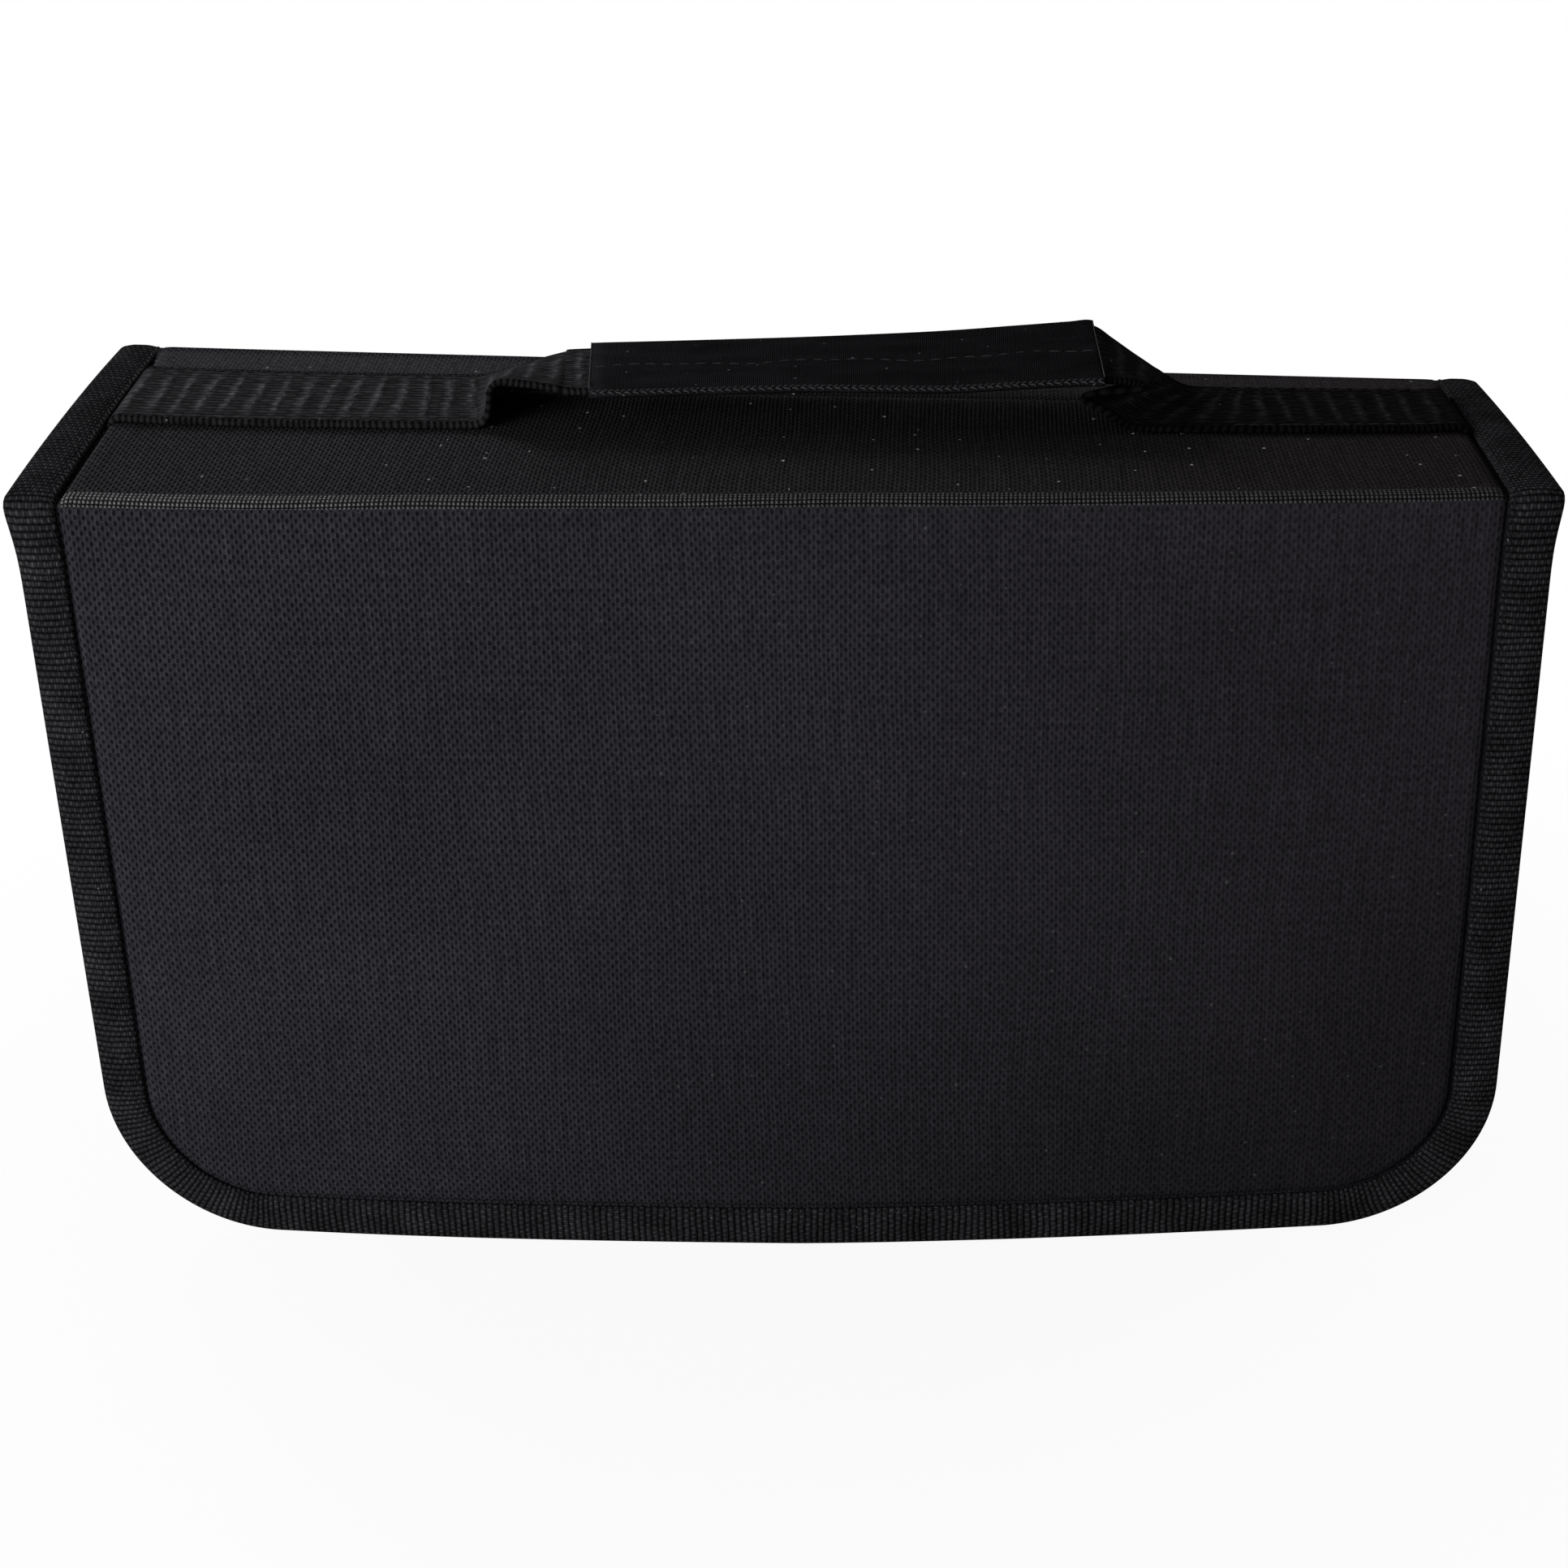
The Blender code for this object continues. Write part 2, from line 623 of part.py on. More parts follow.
def make_pages(material, collection):
    """The disc pages as one block, hanging under the spine and wider at its foot."""
    edge = PAGES_LENGTH / 2
    radius = PAGES_CORNER
    corner_z = PAGES_BOTTOM + radius
    left = arc((radius - edge, corner_z), radius, 180, 270, PAGES_CORNER_STEPS)
    right = arc((edge - radius, corner_z), radius, 270, 360, PAGES_CORNER_STEPS)
    outline = [(-edge, PAGES_TOP)] + left + right + [(edge, PAGES_TOP)]
    bm = bmesh.new()
    plate(bm, [(x, -0.5, z) for x, z in outline], (0, 1, 0))
    for vert in bm.verts:
        share = (PAGES_TOP - vert.co.z) / (PAGES_TOP - PAGES_BOTTOM)
        vert.co.y *= PAGES_TOP_WIDTH + (PAGES_BOTTOM_WIDTH - PAGES_TOP_WIDTH) * share
    return finish("disc_pages", bm, material, collection)


def make_page_strip(material, collection):
    """The folded strip that the pages are sewn to."""
    bottom = PAGES_TOP + CLEARANCE
    edge = PAGES_LENGTH / 2
    half = PAGE_STRIP_WIDTH / 2
    return box_object(
        "page_strip", (-edge, -half, bottom), (edge, half, bottom + PAGE_STRIP),
        material, collection, bevel=PAGE_STRIP / 4)


def hang_from(empty_name, location, objects, collection):
    """Parent pieces to an empty on their joint's axis, leaving them where they are."""
    empty = bpy.data.objects.new(empty_name, None)
    empty.empty_display_size = FOLD_RADIUS
    collection.objects.link(empty)
    empty.location = location
    for obj in objects:
        obj.parent = empty
        obj.location = -Vector(location)


def make_cover(prefix, side, cloth, tape, coil, inner, collection):
    """Every layer of one cover, hung from its fold."""
    pieces = [
        make_cover_pad(prefix + "_fabric", side, cloth, collection),
        cover_sheet(prefix + "_board", side, BOARD_INSET, COVER_TOP, BOARD_DEPTH, BOARD,
                    inner["board"], collection),
        cover_sheet(prefix + "_lining", side, LAYER_INSET, COVER_TOP, LINING_DEPTH, LINING,
                    inner["lining"], collection),
        make_cover_binding(prefix + "_binding", side, tape, collection),
        make_gusset(prefix + "_gusset", side, cloth, collection),
        make_zip_tape(prefix + "_zip_tape", side, inner["zip_tape"], collection),
        make_coil(prefix + "_zip_coil", side, coil, collection),
    ]
    for end, word in ((-1, "left"), (1, "right")):
        name = prefix + "_zip_stop_" + word
        pieces.append(make_zip_stop(name, side, end, coil, collection))
    hinge = (0, depth_y(side, HINGE_INSET), HEIGHT - HINGE_INSET)
    hang_from(prefix + "_hinge", hinge, pieces, collection)


def main():
    clear_scene()
    parts = make_collection("cd_storage_case")
    cutters = make_collection("cutters")
    cloth = make_material("black_cloth", (0.022, 0.022, 0.026), 0.85)
    tape = make_material("binding_tape", (0.016, 0.016, 0.019), 0.8)
    webbing = make_material("webbing", (0.018, 0.018, 0.021), 0.75)
    coil = make_material("zip_coil", (0.02, 0.02, 0.02), 0.45)
    metal = make_material("zip_metal", (0.05, 0.05, 0.055), 0.35, metallic=1.0)
    pages = make_material("pages", (0.35, 0.35, 0.36), 0.6)
    inner = {
        "board": make_material("board", (0.25, 0.2, 0.14), 0.9),
        "lining": make_material("lining", (0.03, 0.03, 0.032), 0.9),
        "zip_tape": make_material("zip_tape", (0.018, 0.018, 0.02), 0.85),
    }

    make_spine_pad(cloth, parts)
    inside = THICKNESS / 2 - LINING_BACK - CLEARANCE
    make_spine_sheet("spine_board", BOARD_INSET, BOARD_DEPTH, BOARD, inside,
                     inner["board"], parts)
    make_spine_sheet("spine_lining", LAYER_INSET, LINING_DEPTH, LINING, inside,
                     inner["lining"], parts)
    for end, word in ((-1, "left"), (1, "right")):
        make_spine_binding("spine_binding_" + word, end, tape, parts, cutters)
    make_strap(webbing, parts)
    make_sleeve(cloth, parts)
    make_page_strip(inner["lining"], parts)
    make_pages(pages, parts)

    make_cover("front_cover", -1, cloth, tape, coil, inner, parts)
    make_cover("back_cover", 1, cloth, tape, coil, inner, parts)

    slider = make_slider(metal, parts)
    pull = make_pull(metal, parts)
    axis_x, axis_z = pull_axis()
    hang_from("zip_slider_seat", (axis_x, 0, axis_z), [slider], parts)
    hang_from("zip_pull_hinge", (axis_x, 0, axis_z), [pull], parts)


main()
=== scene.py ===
"""Looks of the compact disc case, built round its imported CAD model.

Shapes are worked out in millimetres in the CAD frame and become metres when a piece is made.
The outer cloth and its binding tape are drawn unrolled: X runs along the case, and S climbs a
cover from the floor, turns over the fold and crosses the spine as far as the strap.
"""

import math
from functools import reduce

import bmesh
import bpy
import numpy as np
from mathutils import Matrix, Vector


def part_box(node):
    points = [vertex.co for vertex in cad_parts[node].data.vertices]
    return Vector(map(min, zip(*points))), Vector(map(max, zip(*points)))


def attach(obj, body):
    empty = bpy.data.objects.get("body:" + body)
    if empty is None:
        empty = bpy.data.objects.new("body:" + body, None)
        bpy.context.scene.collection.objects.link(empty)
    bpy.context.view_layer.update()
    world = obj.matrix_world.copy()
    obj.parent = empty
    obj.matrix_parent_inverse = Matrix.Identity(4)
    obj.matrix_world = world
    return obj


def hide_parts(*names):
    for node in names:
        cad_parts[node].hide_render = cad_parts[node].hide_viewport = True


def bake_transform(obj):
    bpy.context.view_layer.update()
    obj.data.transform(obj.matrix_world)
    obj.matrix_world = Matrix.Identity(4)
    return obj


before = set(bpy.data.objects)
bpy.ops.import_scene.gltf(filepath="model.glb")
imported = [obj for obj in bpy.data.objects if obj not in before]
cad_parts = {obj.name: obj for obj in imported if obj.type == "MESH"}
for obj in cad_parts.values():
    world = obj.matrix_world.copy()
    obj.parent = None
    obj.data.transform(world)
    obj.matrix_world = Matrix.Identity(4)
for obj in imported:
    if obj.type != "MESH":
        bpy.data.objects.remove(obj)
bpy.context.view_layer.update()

MM = 0.001

# Sizes of the CAD model
LENGTH = 305.0
HEIGHT = 175.0
THICKNESS = 88.0
CORNER_RADIUS = 36.0
FOLD_RADIUS = 3.0
CLEARANCE = 0.3
BINDING = 0.8
BINDING_DEPTH = 0.3
BINDING_WIDTH = 9.3
PUFF = 0.6
PAD_EDGE = 1.4
LINING_DEPTH = 2.5
LINING = 0.6
BOARD = 1.1
BOARD_INSET = 12.7
EDGE_DEPTH = 5.3
WALL_INSET = 8.6
WALL = 0.8
FLANGE_DEPTH = 3.4
WALL_EDGE = 13.0
TAPE_INSET = 9.7
ZIP_TAPE = 0.5
ZIP_TAPE_EDGE = 18.0
ZIP_SLIT = 1.2
PAGES_TOP_WIDTH = 22.0
COIL_WIDTH = 2.5
COIL_HEIGHT = 2.3
COIL_MIDDLE = 9.95
COVER_TOP = 171.7
BOARD_DEPTH = 1.1
SEAM_INSET = 1.1
WALL_TOP = 169.4
COIL_TOP = 164.9
STRAP_WIDTH = 30.0
STRAP = 1.4
STRAP_LEFT_Y = 9.4
STRAP_RIGHT_Y = 12.0
SLEEVE_WIDTH = 34.0
SLEEVE_START = -41.8
SLEEVE_END = 66.5

# Sizes that only the looks have
CLOTH = 0.7
WARP_PITCH = 0.90
WEFT_PITCH = 1.04
SHOULDER_START = 9.9
SHOULDER_WIDTH = 2.6
CROWN = 0.9
WAVES = 0.22
PUCKERS = 0.10
SLEEVE_CLOTH = 0.55
SLEEVE_RISE = 0.8
WELD = 0.01
BLACK = (0.0, 0.0, 0.0)

# The handle's raised part: where the front edge is along X and how far it is lifted off the
# spine, then the same for the back edge. It rises at the left and comes down in a flat Z.
HANDLE_ROUTE = (
    (-80.0, 0.0, -82.0, 0.0), (-68.0, 0.0, -72.5, 0.0), (-64.2, 0.2, -69.0, 0.0),
    (-62.2, 1.6, -66.9, 0.2), (-61.4, 4.6, -64.8, 0.6), (-61.0, 7.8, -62.4, 1.2),
    (-59.4, 9.5, -59.6, 2.0), (-56.4, 9.6, -56.8, 3.0), (-52.0, 9.0, -52.6, 4.4),
    (-47.0, 8.1, -48.4, 5.6), (-42.5, 7.5, -46.0, 6.2), (-20.0, 8.1, -21.7, 7.3),
    (6.4, 8.9, 5.0, 8.6), (31.6, 8.7, 31.5, 10.3), (48.5, 9.6, 49.0, 11.9),
    (61.0, 10.3, 60.5, 13.0), (66.8, 10.4, 65.6, 13.4), (70.2, 10.3, 69.6, 10.8),
    (73.0, 10.0, 73.8, 7.8), (74.5, 9.6, 77.2, 5.5), (74.4, 9.0, 79.0, 4.3),
    (72.2, 8.6, 80.3, 3.6), (68.4, 8.3, 81.3, 3.0), (64.6, 7.9, 82.2, 2.5),
    (62.4, 7.1, 83.0, 2.0), (62.9, 6.0, 83.8, 1.5), (65.6, 4.6, 84.7, 1.0),
    (68.6, 2.6, 85.8, 0.6), (71.4, 0.9, 87.4, 0.2), (75.0, 0.1, 90.0, 0.0),
    (81.0, 0.0, 94.0, 0.0),
)
# The strap's ends dip into the trench and under the binding
STRAP_DIP = ((138.0, 0.0), (140.6, 0.0), (141.8, -0.9), (142.6, -2.5), (144.8, -2.9))

# How the soft case has settled, in millimetres, with pairs for its left and right ends
BACK_RISE = 1.7
BACK_LEAN = 5.6
END_ARCH = (2.2, 1.4)
END_FLARE = ((1.6, 0.1), (1.4, -0.6))
FOOT_LIFT = (2.6, 6.8)
FLARE_START = 141.0
BELLY = 3.2

FOLD_FOOT = HEIGHT - FOLD_RADIUS
FOLD_TOP = FOLD_FOOT + FOLD_RADIUS * math.pi / 2
# Where each side's cloth and tape end, under the strap
SPLIT_Y = 19.5
S_END = {"front": FOLD_TOP + THICKNESS / 2 - FOLD_RADIUS + SPLIT_Y,
         "back": FOLD_TOP + THICKNESS / 2 - FOLD_RADIUS - SPLIT_Y}
SIDES = {"front": -1, "back": 1}
CORNER_X = LENGTH / 2 - CORNER_RADIUS


def settled(points):
    """Points of the stiff CAD frame, moved by the small amounts that the soft case has settled.

    The spine's back edge is up at the left and down at the right, and its ends arch and flare;
    the covers belly out near the floor, and their feet are lifted at both ends.
    """
    x, y, z = points[..., 0], points[..., 1], points[..., 2]
    along, across = x / (LENGTH / 2), np.clip(y / THICKNESS + 0.5, 0, 1)
    rise = np.clip(z / HEIGHT, 0, 1)
    near_top = np.exp(-((HEIGHT - z).clip(0) / 8) ** 2)
    lean = (BACK_RISE - BACK_LEAN * along) * across * rise
    arch, lift = (np.where(x < 0, *pair) for pair in (END_ARCH, FOOT_LIFT))
    front, back = (np.where(x < 0, *pair) for pair in zip(*END_FLARE))
    arch = arch * along ** 6 * (1 - across) * (0.7 + 2.2 * across) * near_top
    lift = lift * abs(along) ** np.where(x < 0, 3.5, 1.3) * (1 - rise)
    flare = (front + (back - front) * across) * np.sign(x)
    flare = flare * np.clip((abs(x) - FLARE_START) / (LENGTH / 2 - FLARE_START), 0, 1.1) * near_top
    belly = 1 + BELLY / (THICKNESS / 2) * (1 - rise) * (1 - along ** 2).clip(0)
    return np.stack([x + flare, y * belly, z + lean + arch + lift], axis=-1)


class Shape:
    """Points, faces and UVs in millimetres, gathered until they become one piece."""

    def __init__(self):
        self.points, self.faces, self.uvs, self.count = [], [], [], 0

    def add(self, points, faces, uvs):
        points = np.asarray(points, float).reshape(-1, 3)
        self.points.append(points)
        self.uvs.append(np.asarray(uvs, float).reshape(-1, 2))
        self.faces.extend((np.asarray(faces) + self.count).tolist())
        self.count += len(points)

    def grid(self, points, uvs, flip=False):
        """A sheet of quads through rows of points."""
        rows, columns = points.shape[:2]
        index = np.arange(rows * columns).reshape(rows, columns)
        quads = np.stack(
            [index[:-1, :-1], index[1:, :-1], index[1:, 1:], index[:-1, 1:]], -1).reshape(-1, 4)
        self.add(points, quads[:, ::-1] if flip else quads, uvs)

    def tubes(self, points, uvs):
        """Many like tubes at once: points are tube, station, ring point."""
        tubes, stations, ring = points.shape[:3]
        index = np.arange(stations * ring).reshape(stations, ring)
        after = np.roll(index, -1, axis=1)
        quads = np.stack([index[:-1], index[1:], after[1:], after[:-1]], -1).reshape(-1, 4)
        faces = (quads[None] + (np.arange(tubes) * stations * ring)[:, None, None]).reshape(-1, 4)
        start = self.count
        self.add(points, faces, uvs)
        for first in range(start, self.count, stations * ring):
            last = first + (stations - 1) * ring
            self.faces.append(list(range(first, first + ring)))
            self.faces.append(list(range(last, last + ring))[::-1])

    def closed_tube(self, points, uvs):
        """A sheet through rows that close on themselves, with a face over each end."""
        self.grid(points, uvs)
        for end in (0, -1):
            ring = points[end][:-1]
            self.add(ring, [list(range(len(ring)))], uvs[end][:-1])

    def piece(self, name, material, thickness=0.0):
        """The gathered shape, settled, as an object in metres."""
        points = settled(np.concatenate(self.points))
        mesh = bpy.data.meshes.new(name)
        mesh.from_pydata((points * MM).tolist(), [], self.faces)
        layer = mesh.uv_layers.new(name="UVMap")
        corners = np.empty(len(mesh.loops), int)
        mesh.loops.foreach_get("vertex_index", corners)
        layer.data.foreach_set("uv", np.concatenate(self.uvs)[corners].ravel())
        bm = bmesh.new()
        bm.from_mesh(mesh)
        bmesh.ops.remove_doubles(bm, verts=bm.verts, dist=WELD * MM)
        bmesh.ops.recalc_face_normals(bm, faces=bm.faces)
        bm.to_mesh(mesh)
        bm.free()
        mesh.shade_smooth()
        mesh.set_sharp_from_angle(angle=math.radians(50))
        mesh.materials.append(material)
        obj = bpy.data.objects.new(name, mesh)
        bpy.context.scene.collection.objects.link(obj)
        if thickness:
            modifier = obj.modifiers.new("Thickness", "SOLIDIFY")
            modifier.thickness = thickness * MM
            modifier.offset = -1
        return obj


def ripple(x, s):
    """Slow, shallow waves of cloth that isn't quite flat, from about -1 to 1."""
    return (np.sin(0.071 * x + 1.3) * np.sin(0.053 * s + 0.4)
            + 0.6 * np.sin(0.13 * x + 0.091 * s + 2.1)
            + 0.4 * np.sin(0.049 * x - 0.117 * s + 0.7)) / 2


def both_ends(left, middle):
    """Rows of the left end, then the middle, then the left end's mirror image."""
    return np.concatenate([left, middle, (left * [-1, 1])[::-1]])


def outline_2d(step, top):
    """X, S and the inward normal round a cover's outer edge, from its left top to its right."""
    down = np.linspace(top, CORNER_RADIUS, max(2, round((top - CORNER_RADIUS) / step) + 1))
    turns = np.linspace(0, math.pi / 2, round(CORNER_RADIUS * math.pi / 2 / step) + 1)[1:-1]
    along = np.linspace(-CORNER_X, CORNER_X, round(2 * CORNER_X / step) + 1)
    left = np.stack([np.full_like(down, -LENGTH / 2), down], -1)
    arc = np.stack([np.cos(turns), np.sin(turns)], -1)
    corner = np.array([-CORNER_X, CORNER_RADIUS]) - CORNER_RADIUS * arc
    bottom = np.stack([along, np.zeros_like(along)], -1)
    to_right, upward = (np.tile(way, (len(rows), 1))
                        for way, rows in (((1.0, 0.0), left), ((0.0, 1.0), bottom)))
    return (both_ends(np.concatenate([left, corner]), bottom),
            both_ends(np.concatenate([to_right, arc]), upward))


def lengths(points):
    """Distance run along a line of points."""
    return np.concatenate([[0], np.cumsum(np.linalg.norm(np.diff(points, axis=0), axis=1))])


def paired(u, v):
    """UVs from two sets of values that broadcast."""
    return np.stack(np.broadcast_arrays(u, v), -1)


def around(count):
    """Angles of points round a tube."""
    return np.linspace(0, 2 * math.pi, count + 1)[:-1]


def inward(path, normals, inset):
    """Both coordinates at insets from an outline."""
    return path[:, :1] + normals[:, :1] * inset, path[:, 1:] + normals[:, 1:] * inset


def wrapped(side, x, s, depth):
    """Points on or behind the unrolled cloth, in space. Deep layers are pinched at the fold."""
    away = np.maximum(FOLD_FOOT - s, s - FOLD_TOP).clip(0, None)
    depth = np.minimum(depth, FOLD_RADIUS - 0.6 + 0.8 * away)
    turn = np.clip((s - FOLD_FOOT) / FOLD_RADIUS, 0, math.pi / 2)
    radius = FOLD_RADIUS - depth
    y = THICKNESS / 2 - FOLD_RADIUS + radius * np.cos(turn) - (s - FOLD_TOP).clip(0, None)
    z = np.minimum(s, FOLD_FOOT) + radius * np.sin(turn)
    return np.stack([x + 0 * y, side * y, z], -1)


def inset_of(x, s):
    """How far a point of the unrolled cloth is from its outer edge."""
    ex, es = np.abs(x) - CORNER_X, CORNER_RADIUS - s
    in_corner = (ex > 0) & (es > 0)
    return np.where(
        in_corner, CORNER_RADIUS - np.hypot(ex, es), np.minimum(LENGTH / 2 - np.abs(x), s))


def pad_depth(x, s):
    """Depth of the padded cloth: low under the tape, up a soft shoulder, then nearly flat."""
    inset = inset_of(x, s)
    rise = np.clip((inset - SHOULDER_START) / SHOULDER_WIDTH, 0, 1)
    shoulder = np.sqrt(1 - (1 - rise) ** 2)
    body = np.clip((inset - 12) / 40, 0, 1)
    on_cover = np.clip((FOLD_FOOT - s) / 25, 0, 1)
    crown = CROWN * np.sin(body * math.pi / 2) * on_cover
    waves = WAVES * ripple(x, s) * body * on_cover
    pucker = PUCKERS * np.sin(x * 0.72 + s * 0.66) * rise * np.exp(-(inset - 10).clip(0) / 5)
    return PAD_EDGE * (1 - shoulder) - crown - waves - pucker


def swept(side, path, normals, section):
    """A section of insets and depths, carried along an outline."""
    section = np.array(section, float)
    x, s = inward(path, normals, section[:, 0])
    points = wrapped(side, x, s, section[:, 1] + 0 * x)
    return points, paired(lengths(path)[:, None], lengths(section)[None])


def rounded(section, radius, steps=3):
    """A closed section with its corners rounded; the first point is repeated at the end."""
    corners = np.array(section, float)
    out = []
    for i, corner in enumerate(corners):
        before, after = corners[i - 1] - corner, corners[(i + 1) % len(corners)] - corner
        cut = min(radius, 0.48 * np.linalg.norm(before), 0.48 * np.linalg.norm(after))
        a = corner + before / np.linalg.norm(before) * cut
        b = corner + after / np.linalg.norm(after) * cut
        for t in np.linspace(0, 1, steps + 1):
            out.append((1 - t) ** 2 * a + 2 * t * (1 - t) * corner + t * t * b)
    return [tuple(p) for p in out] + [tuple(out[0])]


def frames_along(line, up):
    """Unit vectors along, across and up at each point of a line."""
    along = np.gradient(line, axis=0)
    along /= np.linalg.norm(along, axis=1, keepdims=True)
    across = np.cross(up, along)
    across /= np.linalg.norm(across, axis=1, keepdims=True)
    return along, across, np.cross(along, across)


def stitched(shape, line, up, pitch, length, radius=0.28, slant=0.0):
    """A row of thread stitches along a line, each an arched tube that dips into the cloth."""
    run = lengths(line)
    along, across, up = frames_along(line, up)
    count = max(1, int(run[-1] / pitch))
    starts = (run[-1] - count * pitch) / 2 + np.arange(count) * pitch + (pitch - length) / 2
    share = np.linspace(0, 1, 6)
    at = starts[:, None] + share * length

    def sample(values):
        return np.stack([np.interp(at, run, values[:, k]) for k in range(3)], -1)

    middle, side_way, upward = sample(line), sample(across), sample(up)
    arch = np.sin(share * math.pi)
    lift = radius * (1.5 * arch - 0.9)
    sway = slant * (share - 0.5)
    middle = middle + upward * lift[None, :, None] + side_way * sway[None, :, None]
    angles = around(6)
    width = radius * (0.75 + 0.25 * arch)
    ring = (side_way[:, :, None] * np.cos(angles)[None, None, :, None]
            + upward[:, :, None] * np.sin(angles)[None, None, :, None])
    points = middle[:, :, None] + ring * width[None, :, None, None]
    shape.tubes(points, paired(at[:, :, None], angles[None, None] / math.pi))


def put(tree, socket, value):
    """Give an input a value or a colour, or link it to another node's output."""
    if isinstance(value, bpy.types.NodeSocket):
        tree.links.new(value, socket)
    else:
        socket.default_value = (*value, 1) if socket.type == "RGBA" else value


def added(tree, kind, **inputs):
    """A new shader node with its inputs given; _ in a name stands for a space."""
    node = tree.nodes.new("ShaderNode" + kind)
    for name, value in inputs.items():
        put(tree, node.inputs[name.replace("_", " ")], value)
    return node


def worked_out(tree, operation, *values):
    """The result of a math node."""
    node = added(tree, "Math")
    node.operation = operation
    for socket, value in zip(node.inputs, values):
        put(tree, socket, value)
    return node.outputs[0]


class Nodes:
    """Short names for the shader nodes that the materials are written with."""

    def __init__(self, name, roughness, specular, metallic=0.0):
        self.material = bpy.data.materials.new(name)
        self.material.use_nodes = True
        self.tree = self.material.node_tree
        self.shader = self.tree.nodes["Principled BSDF"]
        for name, value in (("Roughness", roughness), ("Metallic", metallic),
                            ("Specular IOR Level", specular)):
            self.shader.inputs[name].default_value = value

    def add(self, kind, **inputs):
        return added(self.tree, kind, **inputs)

    def math(self, operation, *values):
        return worked_out(self.tree, operation, *values)

    def times(self, *factors):
        return reduce(lambda a, b: self.math("MULTIPLY", a, b), factors)

    def times_plus(self, a, b, c):
        return self.math("MULTIPLY_ADD", a, b, c)

    def minus(self, a, b):
        return self.math("SUBTRACT", a, b)

    def power(self, a, b):
        return self.math("POWER", a, b)

    def abs(self, a):
        return self.math("ABSOLUTE", a)

    def mix(self, share, a, b, clamp=True):
        node = self.add("Mix")
        node.data_type = "RGBA"
        node.clamp_factor = clamp
        for socket, value in zip((node.inputs["Factor"], *node.inputs[6:8]), (share, a, b)):
            put(self.tree, socket, value)
        return node.outputs[2]

    def unrolled(self):
        """U and V, which are in millimetres."""
        split = self.add("SeparateXYZ", Vector=self.add("TexCoord").outputs["UV"])
        return split.outputs[0], split.outputs[1]

    def spatial(self):
        """X, Y and Z in the CAD frame, in millimetres."""
        split = self.add("SeparateXYZ", Vector=self.add("TexCoord").outputs["Object"])
        return [self.times(out, 1 / MM) for out in split.outputs]

    def vector(self, x, y, z=0.0):
        return self.add("CombineXYZ", X=x, Y=y, Z=z).outputs[0]

    def noise(self, place, scale, detail=2.0, roughness=0.5):
        return self.add("TexNoise", Vector=place, Scale=scale, Detail=detail,
                        Roughness=roughness).outputs["Fac"]

    def ramp(self, value, low, high, to_low=0.0, to_high=1.0):
        return self.add("MapRange", Value=value, From_Min=low, From_Max=high, To_Min=to_low,
                        To_Max=to_high).outputs[0]

    def mottle(self, place, scale, detail, low, high):
        """Noise as a factor, from low in its dark patches to high in its light ones."""
        return self.ramp(self.noise(place, scale, detail), 0.3, 0.7, low, high)

    def wave(self, value, pitch):
        """Sine that passes zero once a pitch."""
        return self.math("SINE", self.times_plus(value, math.pi / pitch, 0.0))

    def weave(self, u, v, pitch_u, pitch_v, under=0.5, arch=0.3, sharp=1.2):
        """Height of threads along V, from 0 to 1, that pass over and under threads along U."""
        a, b = self.wave(u, pitch_u), self.wave(v, pitch_v)
        over = self.math("GREATER_THAN", self.times(a, b), 0.0)
        thread = self.times(self.power(self.abs(a), 0.7),
                            self.times_plus(self.abs(b), arch, 1 - arch))
        return self.power(self.times(thread, self.times_plus(over, 1 - under, under)), sharp)

    def specks(self, place, cell, radius, share):
        """Small bits of lint on a few of the cells."""
        node = self.add("TexVoronoi")
        node.voronoi_dimensions = "2D"
        put(self.tree, node.inputs["Vector"], place)
        put(self.tree, node.inputs["Scale"], 1 / cell)
        split = self.add("SeparateColor", Color=node.outputs["Color"])
        size = self.times_plus(split.outputs[1], 0.6 * radius / cell, 0.4 * radius / cell)
        near = self.math("LESS_THAN", node.outputs["Distance"], size)
        return self.times(near, self.math("LESS_THAN", split.outputs[0], share))

    def bump(self, height, distance, normal=None):
        node = self.add("Bump", Strength=1.0, Distance=distance * MM, Height=height)
        if normal is not None:
            put(self.tree, node.inputs["Normal"], normal)
        return node.outputs[0]

    def finish(self, colour, normal, roughness=None):
        put(self.tree, self.shader.inputs["Base Color"], colour)
        put(self.tree, self.shader.inputs["Normal"], normal)
        if roughness is not None:
            put(self.tree, self.shader.inputs["Roughness"], roughness)
        return self.material


